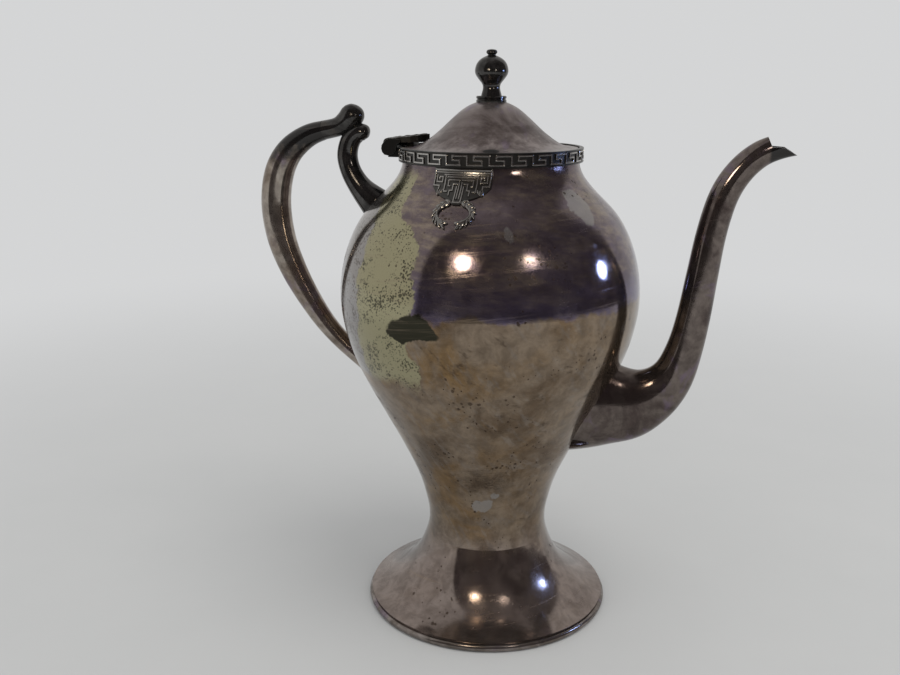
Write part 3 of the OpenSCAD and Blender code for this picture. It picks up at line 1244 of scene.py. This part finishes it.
@dataclass
class Vessel:
    """The two spun halves of the body, with the strainer drilled behind the spout."""

    hole_r: float = 1.6
    hole_pitch: float = 5.5
    hole_z: float = 97.0
    drill_x: float = 20.0
    drill_length: float = 50.0

    def strainer(self) -> Piece:
        """The drills of all the strainer's holes."""
        drills = []
        for row in range(-2, 3):
            shift = 0.5 if row % 2 else 0.0
            for col in (-1, 0, 1):
                if col + shift < 1.5:
                    drills.append(self.drill((col + shift) * self.hole_pitch,
                                             self.hole_z + row * self.hole_pitch))
        return joined("drills", drills)

    def drill(self, y: float, z: float) -> Piece:
        """One drill, along +X at this y and z."""
        drill = start("drill", bpy.ops.mesh.primitive_circle_add, vertices=20,
                      radius=self.hole_r * MM, fill_type="NGON")
        aim_along_x()
        bpy.ops.transform.translate(value=(self.drill_x * MM, y * MM, z * MM))
        push(self.drill_length, 0, 0)
        return close_up(drill)

    def build_lower(self) -> Piece:
        """The half below the girth, drilled."""
        lower = turned("body_lower_shell", shell_outline(POT_OUTLINE, WALL, FOOT_END, LOWER_END))
        drills = self.strainer()
        cut(lower, drills)
        discard(drills)
        return lower

    def build_upper(self) -> Piece:
        """The half above the girth."""
        return turned("body_upper_shell", shell_outline(POT_OUTLINE, WALL, LOWER_END, UPPER_END))

    def make(self, finish: Material) -> None:
        """Builds and dresses the body's pieces."""
        settle(self.build_lower(), Body.POT, Slot.BODY, finish, "body_lower")
        settle(self.build_upper(), Body.POT, Slot.BODY, finish, "body_upper")


@dataclass
class KeyBand:
    """The strip round the neck, with a raised key pattern in its sunk middle."""

    repeats: int = 28
    line_w: float = 0.62
    line_h: float = 0.45
    margin: float = 0.85
    bedded: float = 0.02
    stretch: float = 1.15

    def build_strip(self) -> Piece:
        """The strip with its two plain edges."""
        low = BAND_TOP_Z - BAND_H
        outer = NECK_R + BAND_T
        sunk = outer - BAND_SUNK
        round_off = 0.15
        outline = [
            (NECK_R + 0.02, low), (outer - round_off, low), (outer, low + round_off),
            (outer, low + BAND_EDGE - round_off), (outer - round_off, low + BAND_EDGE),
            (sunk, low + BAND_EDGE), (sunk, BAND_TOP_Z - BAND_EDGE),
            (outer - round_off, BAND_TOP_Z - BAND_EDGE),
            (outer, BAND_TOP_Z - BAND_EDGE + round_off), (outer, BAND_TOP_Z - round_off),
            (outer - round_off, BAND_TOP_Z), (NECK_R, BAND_TOP_Z),
        ]
        strip = turned("key_band_strip", outline, steps=168)
        mark_proud(strip, 0.06)
        return strip

    def build_unit(self) -> Piece:
        """One repeat of the key, flat; the next one joins it."""
        radius = NECK_R + BAND_T
        pitch = 2 * math.pi * radius / self.repeats
        low = BAND_TOP_Z - BAND_H + self.margin + self.line_w / 2
        high = BAND_TOP_Z - self.margin - self.line_w / 2
        middle = (low + high) / 2 + 0.1
        inner, outer = 0.31 * pitch, 0.66 * pitch
        path = [
            (0.0, high), (0.0, low), (outer, low), (outer, middle), (inner, middle),
            (inner, high), (pitch, high),
        ]
        return traced("key_unit", path, self.line_w, self.line_h)

    def wrap(self, point: Vector) -> Vector:
        """Takes a point of the flat key onto the strip."""
        radius = NECK_R + BAND_T
        angle = point.x / radius
        out = radius - BAND_SUNK - self.bedded + point.z * self.stretch
        return Vector((out * math.cos(angle), out * math.sin(angle), point.y))

    def build_key(self) -> Piece:
        """The whole raised key."""
        unit = curved(self.build_unit(), self.wrap)
        mark_proud(unit, 1.0)
        ring = [
            copied(unit, Matrix.Rotation(2 * math.pi * k / self.repeats, 4, "Z"))
            for k in range(self.repeats)
        ]
        discard(unit)
        return joined("key_band_pattern", ring)

    def make(self, finish: Material) -> None:
        """Builds and dresses the band's pieces."""
        settle(self.build_strip(), Body.POT, Slot.ORNAMENT, finish, "key_band")
        settle(self.build_key(), Body.POT, Slot.ORNAMENT, finish)


@dataclass
class Laurel:
    """A thin casting on the neck: a key panel over a laurel wreath."""

    name: str
    node: str
    turn: float
    wreath_z: float = 186.2
    wreath_a: float = 8.2
    wreath_b: float = 4.9
    opening: float = 55.0
    plate_t: float = 0.55
    line_z: float = 0.45
    line_w: float = 0.5
    line_h: float = 0.5
    bar_r: float = 0.62
    bar_half: float = 11.6
    bar_steps: int = 16
    stem_steps: int = 20
    stem_sides: int = 8
    leaves: int = 9

    def lay(self, point: Vector) -> Vector:
        """Takes a point of the flat casting onto the neck; its z is its height off it."""
        radius, normal = pot_surface(point.y)
        rise = point.z
        radius += rise * normal.x
        x = point.x
        return Vector((x, -math.sqrt(radius * radius - x * x), point.y + rise * normal.y))

    def build_plate(self) -> Piece:
        """The panel's plate."""
        half = [
            (12, 202.8), (12, 195.2), (10.3, 193.4), (7.5, 191.9), (5.5, 191.2), (1.6, 190.6),
            (1.6, 189.2),
        ]
        outline = half + [(-x, z) for x, z in reversed(half)]
        plate = flat_plate("plate", outline, 1.5)
        push(0, 0, self.plate_t)
        curved(plate, self.lay)
        mark_proud(plate, 0.12)
        return plate

    def key_lines(self) -> list[Line]:
        """The right half of the panel's key pattern, as square paths."""
        return [
            [(11.5, 202.2), (11.5, 195.6), (9.0, 195.6), (9.0, 194.4)],
            [(10.4, 199.6), (10.4, 197.0), (7.9, 197.0), (7.9, 199.0), (9.3, 199.0), (9.3, 198.1)],
            [(6.6, 199.6), (6.6, 193.6), (5.3, 193.6)],
            [(1.4, 196.4), (3.0, 196.4), (3.0, 194.0), (4.2, 194.0), (4.2, 192.3)],
            [(0.6, 197.9), (5.1, 197.9), (5.1, 195.6), (4.3, 195.6)],
            [(0.55, 191.2), (0.55, 196.9)],
            [(1.45, 190.0), (1.45, 195.4)],
        ]

    def across_lines(self) -> list[Line]:
        """The panel's lines that run right across."""
        return [
            [(-11.2, 200.9), (11.2, 200.9)],
            [(-7.2, 199.9), (7.2, 199.9)],
            [(-5.8, 199.0), (5.8, 199.0)],
            [(-1.2, 189.8), (1.2, 189.8)],
        ]

    def build_lines(self) -> list[Piece]:
        """All the panel's raised lines."""
        half = self.key_lines()
        paths = half + [[(-x, z) for x, z in path] for path in half] + self.across_lines()
        lines = []
        for path in paths:
            line = traced("line", path, self.line_w, self.line_h)
            for vertex in line.data.vertices:
                vertex.co.z += self.line_z * MM
            curved(line, self.lay)
            mark_proud(line, 0.75)
            lines.append(line)
        return lines

    def build_moulding(self) -> Piece:
        """The rounded moulding along the panel's top."""
        bar = start("moulding", bpy.ops.mesh.primitive_circle_add, vertices=12,
                    radius=self.bar_r * MM)
        aim_along_x()
        bpy.ops.transform.translate(value=(-self.bar_half * MM, 201.9 * MM, 0.5 * MM))
        for _ in range(self.bar_steps):
            bpy.ops.mesh.extrude_edges_move(TRANSFORM_OT_translate={
                "value": (self.bar_half * 2 / self.bar_steps * MM, 0, 0)
            })
        fill_ends()
        close_up(bar)
        curved(bar, self.lay)
        mark_proud(bar, 0.75)
        return bar

    def spray(self, model: Piece, x: float, z: float, angle: float, size: float) -> Piece:
        """One leaf of the casting.

        Args:
            model: the leaf to copy.
            x, z: where its stalk is.
            angle: which way it points, in degrees from +X.
            size: how large it is, against the model.

        Returns:
            The leaf on the neck.
        """
        place = (
            Matrix.Translation(Vector((x, z, 0.5)) * MM)
            @ Matrix.Rotation(math.radians(angle), 4, "Z")
            @ Matrix.Scale(size, 4)
        )
        return curved(copied(model, place), self.lay)

    def on_oval(self, side: int, angle: float) -> Pair:
        """The wreath's middle line, at an angle in radians from its top."""
        return (
            side * self.wreath_a * 0.86 * math.sin(angle),
            self.wreath_z + self.wreath_b * 0.82 * math.cos(angle),
        )

    def build_wreath(self) -> list[Piece]:
        """The two branches of the wreath with their leaves, and the sprigs in the corners."""
        model = leaf("leaf", 3.1, 1.5, 0.75)
        mark_proud(model, 0.6)
        parts = []
        end = 180 - self.opening / 2
        for side in (-1, 1):
            for k in range(self.leaves):
                angle = math.radians(18 + (end - 26) * k / (self.leaves - 1))
                x, z = self.on_oval(side, angle)
                along = math.degrees(math.atan2(
                    -self.wreath_b * math.sin(angle), side * self.wreath_a * math.cos(angle)
                ))
                for splay in (-24, 24):
                    parts.append(self.spray(model, x, z, along + splay, 0.95))
            for k in range(3):
                parts.append(self.spray(model, side * (6.9 + 1.2 * k), 194.6 - 0.1 * k,
                                        -90 + side * (35 - 18 * k), 0.75))
            parts.append(self.build_branch(side, end))
        discard(model)
        return parts

    def build_branch(self, side: int, end: float) -> Piece:
        """The stem of one branch of the wreath.

        Args:
            side: -1 or 1.
            end: where the branch ends, in degrees from the top of the oval.

        Returns:
            The stem.
        """
        steps = self.stem_steps
        angles = [math.radians(4 + (end - 4) * k / steps) for k in range(steps + 1)]
        places = [Vector((*self.on_oval(side, angle), 0.5)) for angle in angles]

        def rule(i: int, k: int) -> Vector:
            """Where point k of ring i is; the stem thickens towards its end."""
            way = (places[min(steps, i + 1)] - places[max(0, i - 1)]).normalized()
            across = Vector((-way.y, way.x, 0))
            turn = math.tau * k / self.stem_sides
            offset = across * math.cos(turn) + Vector((0, 0, math.sin(turn)))
            return (places[i] + offset * (0.42 + 0.5 * (i / steps) ** 4)) * MM

        stem = drawn("stem", steps + 1, self.stem_sides, rule)
        fill_ends()
        close_up(stem)
        curved(stem, self.lay)
        mark_proud(stem, 0.4)
        return stem

    def make(self, finish: Material) -> None:
        """Builds and dresses the casting."""
        parts = [self.build_plate(), *self.build_lines(), self.build_moulding(),
                 *self.build_wreath()]
        casting = joined(self.name, parts)
        casting.data.transform(Matrix.Rotation(math.radians(self.turn), 4, "Z"))
        settle(casting, Body.POT, Slot.ORNAMENT, finish, self.node)


def trimmed(piece: Piece) -> Piece:
    """Takes the body's space away from a piece that is soldered to it."""
    outline = [(0.0, JOINT_Z), *POT_OUTLINE[FOOT_END:], (0.0, NECK_TOP_Z)]
    body = turned("body_block", outline, steps=96)
    cut(piece, body)
    discard(body)
    return piece


def hollow(name: str, line: list[Station], sides: int, wall: float) -> Piece:
    """A tube of sheet metal, trimmed to the body.

    Args:
        name: of the tube.
        line: its stations.
        sides: how many sides half of a ring has.
        wall: the sheet's thickness.

    Returns:
        The tube.
    """
    tube = swept(name, line, sides, capped=False)
    apply(tube, "SOLIDIFY", thickness=wall * MM, offset=-1.0)
    return trimmed(close_up(tube))


def settle_halves(whole: Piece, part: str, finish: Material) -> None:
    """Splits the hollow spout or handle into its two halves and dresses them.

    Args:
        whole: the piece to split; it is removed.
        part: what it is called.
        finish: of both halves.
    """
    for half, far_side in (("near", False), ("far", True)):
        piece = halved(whole, f"{part}_{half}_shell", far_side)
        settle(piece, Body.POT, Slot.CAST, finish, f"{part}_{half}_half")
    discard(whole)


@dataclass
class Spout:
    """The swan-neck spout: two stamped halves, soldered along its plane."""

    wall: float = 1.0
    sides: int = 28

    def build_whole(self) -> Piece:
        """The whole hollow spout, trimmed to the body and with its beak cut."""
        spout = hollow("spout", SPOUT_LINE, self.sides, self.wall)
        beak = prism("beak", BEAK_CUT, BEAK_CUT_W)
        cut(spout, beak)
        discard(beak)
        return spout

    def make(self, finish: Material) -> None:
        """Builds and dresses the spout's halves."""
        settle_halves(self.build_whole(), "spout", finish)


@dataclass
class Handle:
    """The hollow handle with its solid knob, and the scrolled bracket that stays it."""

    wall: float = 1.4
    sides: int = 24

    def build_loop(self) -> Piece:
        """The hollow loop, trimmed to the body."""
        return hollow("handle", HANDLE_LINE[: KNOB_AT + 1], self.sides, self.wall)

    def build_knob(self) -> Piece:
        """The solid neck and round end of the handle."""
        return swept("handle_knob_end", HANDLE_LINE[KNOB_AT:], self.sides, capped=True)

    def build_bracket(self) -> Piece:
        """The scrolled bracket between the body and the handle."""
        return trimmed(swept("bracket_scroll", BRACKET_LINE, self.sides, capped=True))

    def make(self, finish: Material, dark: Material) -> None:
        """Builds and dresses the handle's pieces."""
        settle_halves(self.build_loop(), "handle", finish)
        settle(self.build_knob(), Body.POT, Slot.CAST, dark, "handle_knob")
        settle(self.build_bracket(), Body.POT, Slot.CAST, dark, "handle_bracket")


@dataclass
class Lid:
    """The domed lid."""

    stud_r: float = 1.5

    def build_dome(self) -> Piece:
        """The spun dome with its flange."""
        outer = [point for point in LID_OUTLINE if point[0] > self.stud_r]
        inner = [point for point in inset(LID_OUTLINE, FLANGE_T) if point[0] > self.stud_r]
        bore = [(self.stud_r, LID_OUTLINE[-1][1]), (self.stud_r, inner[-1][1])]
        edge = [(FLANGE_R, FLANGE_Z), (FLANGE_R + 0.15, FLANGE_Z + FLANGE_T / 2)]
        return turned("lid_dome_shell", edge + outer + bore + inner[::-2])

    def make(self, finish: Material) -> None:
        """Builds and dresses the lid."""
        settle(self.build_dome(), Body.LID, Slot.LID, finish, "lid_dome")


@dataclass
class Finial:
    """The turned knob on its collar."""

    def build_collar(self) -> Piece:
        """The collar with its two rounded beads."""
        low, high = COLLAR_Z, COLLAR_Z + COLLAR_H
        outline = [
            (1.5, low + 1.0), (COLLAR_R - 0.6, low - 0.2), (COLLAR_R - 0.1, low),
            (COLLAR_R, low + 0.3), (COLLAR_R, low + 1.0), (COLLAR_R - 0.3, low + 1.3),
            (COLLAR_R - 0.3, low + 1.6), (COLLAR_R, low + 1.9), (COLLAR_R, high - 0.3),
            (COLLAR_R - 0.3, high), (4.6, high), (1.5, high),
        ]
        return turned("finial_collar_ring", outline, steps=96)

    def build_knob(self) -> Piece:
        """The knob."""
        base = COLLAR_Z + COLLAR_H
        curve = fair(smooth(FINIAL_CURVE, 8), 2)
        outline = [(0.0, base)] + [(r, z + base) for r, z in curve]
        return turned("finial_knob_turned", outline, steps=96)

    def make(self, finish: Material) -> None:
        """Builds and dresses the finial's pieces."""
        settle(self.build_collar(), Body.LID, Slot.ORNAMENT, finish, "finial_collar")
        settle(self.build_knob(), Body.LID, Slot.ORNAMENT, finish, "finial_knob")


@dataclass
class HingeCover:
    """The cast ornament over the hinge: a claw round the barrel and a leaf up the lid."""

    thickness: float = 1.5
    curl_r: float = 3.2
    barrel_r: float = 2.6
    cheek_y: float = 8.45
    rise: float = 0.12

    def lay(self, point: Vector) -> Vector:
        """Takes a point of the flat ornament to its place; its z is its height off the hinge."""
        along = point.x
        if along < 0:
            angle = along / self.curl_r
            radius = self.barrel_r + point.z
            return Vector((
                -HINGE_X + radius * math.sin(angle), point.y,
                HINGE_Z + radius * math.cos(angle),
            ))
        slope = self.rise * max(0.05, min(1.0, point.z / self.thickness))
        return Vector((
            along - HINGE_X, point.y, HINGE_Z + self.barrel_r + along * slope + point.z
        ))

    def build_plate(self) -> Piece:
        """The ornament's plate."""
        half = [
            (-3.9, 0), (-3.4, 4.2), (-1, 8.2), (1.6, 8.6), (6, 7), (9.5, 6.6), (12.6, 5.4),
            (15.4, 2.6), (16.4, 0),
        ]
        outline = half + [(x, -y) for x, y in reversed(half[1:-1])]
        plate = flat_plate("hinge_plate", outline, 1.1)
        push(0, 0, self.thickness)
        curved(plate, self.lay)
        mark_proud(plate, 0.05)
        return plate

    def build_cheek(self, side: int) -> Piece:
        """One of the two cheeks that close the ends of the barrel; side is -1 or 1."""
        outline = [
            (-2.9, 207.6), (-2.5, 206.1), (-1.5, 205), (0, 204.7), (2, 205), (3.6, 206.2),
            (4.3, 209.5), (6, 210.2), (5.6, 211.6), (0.6, 211.9), (-1.6, 210.6), (-2.7, 209),
        ]
        cheek = prism("cheek", [(x - HINGE_X, z) for x, z in outline], 0.35)
        cheek.data.transform(Matrix.Translation((0, side * self.cheek_y * MM, 0)))
        apply(cheek, "BEVEL", width=0.2 * MM, segments=2, limit_method="ANGLE")
        mark_proud(cheek, 0.02)
        return close_up(cheek)

    def build_relief(self) -> list[Piece]:
        """Leaves that lie across the ornament and along its middle."""
        model = leaf("leaf", 4.4, 2.0, 0.9)
        mark_proud(model, 0.22)
        parts = []
        half = (
            (11.2, 0.8, 14), (7.6, 1.6, 28), (3.8, 2.2, 40), (0.2, 2.8, 62), (2.4, 4.9, 24),
            (0.6, 1.2, 150), (0.8, 3.6, 132), (1.2, 5.6, 120),
        )
        for side, (x, y, fan) in itertools.product((-1, 1), half):
            place = (
                Matrix.Translation(Vector((x, side * y, self.thickness * 0.8)) * MM)
                @ Matrix.Rotation(math.radians(side * fan), 4, "Z")
            )
            parts.append(curved(copied(model, place), self.lay))
        discard(model)
        return parts

    def make(self, finish: Material) -> None:
        """Builds and dresses the ornament."""
        cover = joined("hinge_ornament", [
            self.build_plate(), self.build_cheek(-1), self.build_cheek(1), *self.build_relief(),
        ])
        settle(cover, Body.LID, Slot.ORNAMENT, finish, "lid_ornament")


# ---------------------------------------------------------------- the studio


@dataclass
class Studio:
    """A pale table and sweep, a dim room in front of them, lamps and the camera."""

    camera_place: tuple[float, float, float] = (0.0996, -0.4105, 0.2374)
    camera_look: tuple[float, float, float] = (-0.2663, 0.9287, -0.2583)
    lens: float = 39.0
    room_azimuth: float = -46.0
    room_half_width: float = 86.0
    pale: Colour = (0.66, 0.665, 0.67)
    room: Colour = (0.095, 0.08, 0.078)
    table_edge: float = 1.0

    def room_share(self, graph: Graph, direction: Socket) -> Socket:
        """How far a direction points into the dim room, from 0 to 1."""
        x, y, _ = graph.axes(direction)
        flat = graph.node("ShaderNodeCombineXYZ")
        graph.feed(flat.inputs[0], x)
        graph.feed(flat.inputs[1], y)
        level = graph.node("ShaderNodeVectorMath", operation="NORMALIZE")
        graph.feed(level.inputs[0], flat.outputs[0])
        turn = math.radians(self.room_azimuth)
        facing = graph.node("ShaderNodeVectorMath", operation="DOT_PRODUCT")
        graph.feed(facing.inputs[0], level.outputs[0])
        facing.inputs[1].default_value = (math.cos(turn), math.sin(turn), 0)
        edge = math.cos(math.radians(self.room_half_width))
        return graph.step(facing.outputs["Value"], edge - 0.03, edge + 0.05)

    def build_world(self) -> None:
        """What surrounds the table: pale to look at, and partly a dim room in reflections."""
        world = bpy.data.worlds.new("surroundings")
        bpy.context.scene.world = world
        world.use_nodes = True
        graph = Graph(world.node_tree)
        background = graph.found("BACKGROUND")
        direction = graph.node("ShaderNodeTexCoord").outputs["Generated"]
        up = graph.axes(direction)[2]
        walls = graph.noise(direction, 2.6, 4, 0.55, 0.4)
        room = graph.mix(graph.step(walls, 0.42, 0.62), self.room, (0.05, 0.036, 0.04))
        share = self.room_share(graph, direction)
        under_ceiling = graph.rest(graph.step(up, 0.97, 0.995))
        seen = graph.mix(graph.times(share, under_ceiling), (0.62, 0.61, 0.6), room)
        ceiling = graph.times(graph.step(up, 0.8, 0.97), 0.6)
        seen = graph.mix(ceiling, seen, (0.3, 0.28, 0.275))
        rays = graph.node("ShaderNodeLightPath")
        colour = graph.mix(rays.outputs["Is Glossy Ray"], (0.74, 0.745, 0.75), seen)
        colour = graph.mix(rays.outputs["Is Camera Ray"], colour, self.pale)
        graph.feed(background.inputs["Color"], colour)

    def build_floor(self) -> None:
        """The pale table top, which fades into the surroundings."""
        floor = start("table_top", bpy.ops.mesh.primitive_circle_add, vertices=96, radius=3.0,
                      fill_type="NGON")
        leave_edit()
        material = bpy.data.materials.new("pale_paper")
        material.use_nodes = True
        graph = Graph(material.node_tree)
        output = graph.found("OUTPUT_MATERIAL")
        paper = graph.node("ShaderNodeBsdfDiffuse")
        place = graph.node("ShaderNodeTexCoord").outputs["Object"]
        fibres = graph.noise(place, 12.0, 5, 0.6)
        colour = graph.mix(fibres, (0.57, 0.575, 0.572), (0.61, 0.612, 0.607))
        graph.feed(paper.inputs["Color"], colour)
        glow = graph.node("ShaderNodeEmission")
        away = graph.node("ShaderNodeVectorMath", operation="LENGTH")
        graph.feed(away.inputs[0], place)
        dim = graph.times(self.room_share(graph, place),
                         graph.step(away.outputs["Value"], self.table_edge,
                                    self.table_edge + 0.02))
        rays = graph.node("ShaderNodeLightPath")
        mirrored = graph.times(rays.outputs["Is Glossy Ray"], dim)
        graph.feed(glow.inputs["Color"], graph.mix(mirrored, self.pale, (0.04, 0.03, 0.03)))
        blend = graph.node("ShaderNodeMixShader")
        far = graph.step(away.outputs["Value"], 0.16, 0.85)
        graph.feed(blend.inputs[0], graph.most(far, mirrored))
        graph.feed(blend.inputs[1], paper.outputs[0])
        graph.feed(blend.inputs[2], glow.outputs[0])
        graph.feed(output.inputs["Surface"], blend.outputs[0])
        dress(floor, material)

    def lamp(self, name: str, place: Sequence[float], target: Sequence[float], size: float,
             watts: float, colour: Colour, mirrored: bool) -> None:
        """Hangs a round lamp.

        Args:
            name: of the lamp.
            place: where it hangs, in metres.
            target: where it points.
            size: its diameter.
            watts: its power.
            colour: of its light.
            mirrored: whether it shows in reflections and lights nothing else, or the reverse.
        """
        light = bpy.data.lights.new(name, "AREA")
        light.shape = "DISK"
        light.size = size
        light.energy = watts
        light.color = colour
        lamp = bpy.data.objects.new(name, light)
        bpy.context.scene.collection.objects.link(lamp)
        lamp.location = place
        lamp.rotation_euler = (Vector(target) - Vector(place)).to_track_quat("-Z", "Y").to_euler()
        lamp.visible_camera = False
        lamp.visible_diffuse = not mirrored
        lamp.visible_glossy = mirrored

    def build_lamps(self) -> None:
        """One broad soft lamp, and the small ones whose discs show in the silver."""
        self.lamp("softbox", (0.5, -0.3, 1.3), (0, 0, 0.1), 0.9, 5.0, (1, 0.98, 0.95), False)
        self.lamp("disc_near", (-0.022, -0.224, 0.278), (0, -0.05, 0.14), 0.05, 0.1,
                  (1.0, 0.84, 0.64), True)
        self.lamp("disc_side", (0.135, -0.145, 0.262), (0.02, -0.05, 0.15), 0.03, 0.025,
                  (1.0, 0.9, 0.8), True)
        self.lamp("window", (0.42, 0.1, 0.24), (0, 0, 0.15), 0.07, 0.35, (0.35, 0.5, 1.0), True)

    def build_camera(self) -> None:
        """The camera."""
        data = bpy.data.cameras.new("camera")
        data.lens = self.lens
        data.sensor_width = 36.0
        data.clip_start = 0.01
        camera = bpy.data.objects.new("camera", data)
        bpy.context.scene.collection.objects.link(camera)
        camera.location = self.camera_place
        camera.rotation_euler = Vector(self.camera_look).to_track_quat("-Z", "Y").to_euler()
        bpy.context.scene.camera = camera

    def make(self) -> None:
        """Builds the whole studio."""
        bpy.context.scene.view_settings.view_transform = "Standard"
        self.build_world()
        self.build_floor()
        self.build_lamps()
        self.build_camera()


# ---------------------------------------------------------------- all together


def dress_frame_nodes(inner: Material, relief: Material,
                      brass: Material) -> None:
    """Gives the nodes that show as they are their finishes.

    Args:
        inner: for the plain inner pieces.
        relief: for the hinge's castings.
        brass: for the pin, stud and nut.
    """
    for names, material in (
        (("body_floor", "mouth_ring", "lid_bezel"), inner),
        (("hinge_lug", "lid_hinge_leaf"), relief),
        (("hinge_pin", "finial_stud", "finial_nut"), brass),
    ):
        for name in names:
            dress(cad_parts[name], material)
            LOG.info("%s: frame node dressed", name)


def main() -> None:
    """Builds the pot's pieces, then the studio."""
    logging.basicConfig(level=logging.INFO, format="%(message)s")
    cloud_effect()
    wipe_effect()
    spot_effect()
    body = BodySilver("body_silver", (0.29, 0.225, 0.165), (0.165, 0.115, 0.074),
                      (0.05, 0.033, 0.022), crowding=0.49, marks=0.9).build()
    lid = Silver("lid_silver", (0.32, 0.275, 0.262), (0.14, 0.11, 0.104), (0.08, 0.06, 0.055),
                 cloud_scale=42, cloud_edge=0.22, gloss=0.28, matt=0.46, bare=0.8,
                 heavy_from=0.2115, heavy_to=0.2235,
                 soot_patches=((-1.33, 0.209, 0.11, 0.0007),))
    # the spout's tip past x = 112.8 mm is painted near black, as painted shade for the dark inside
    # of its beak
    spout = Silver("spout_silver", (0.19, 0.158, 0.14), (0.1, 0.077, 0.07),
                   (0.04, 0.03, 0.028), cloud_scale=40, gloss=0.1, matt=0.3,
                   painted_shade_beyond=0.1128)
    handle = Silver("handle_silver", (0.42, 0.37, 0.32), (0.26, 0.21, 0.17), (0.08, 0.06, 0.05),
                    cloud_scale=40, gloss=0.1, matt=0.3, black_above=0.2)
    dark = Silver("dark_silver", (0.1, 0.096, 0.092), (0.05, 0.047, 0.045), (0.02, 0.02, 0.02),
                  tint=(0.08, 0.07, 0.06), cloud_scale=60, gloss=0.1, matt=0.28)
    wire = Silver("rim_silver", (0.34, 0.3, 0.28), (0.2, 0.17, 0.15), (0.07, 0.06, 0.05),
                  cloud_scale=60, gloss=0.14, matt=0.3)
    brass = Silver("brass", (0.6, 0.46, 0.22), (0.45, 0.32, 0.16), (0.2, 0.13, 0.07))
    inner = Silver("inner_silver", (0.5, 0.46, 0.42), (0.36, 0.3, 0.25), (0.12, 0.09, 0.07),
                   gloss=0.25, matt=0.5)
    relief = Relief("cast_relief", (0.03, 0.03, 0.029), (0.55, 0.53, 0.5)).build()
    Foot().make(body, wire.build())
    Vessel().make(body)
    KeyBand().make(relief)
    Laurel("front_laurel", "front_ornament", ORNAMENT_TURN).make(relief)
    Laurel("back_laurel", "back_ornament", 180 + ORNAMENT_TURN).make(relief)
    Spout().make(spout.build())
    dark_finish = dark.build()
    Handle().make(handle.build(), dark_finish)
    Lid().make(lid.build())
    HingeCover().make(relief)
    Finial().make(dark_finish)
    dress_frame_nodes(inner.build(), relief, brass.build())
    Studio().make()


if __name__ == "__main__":
    main()
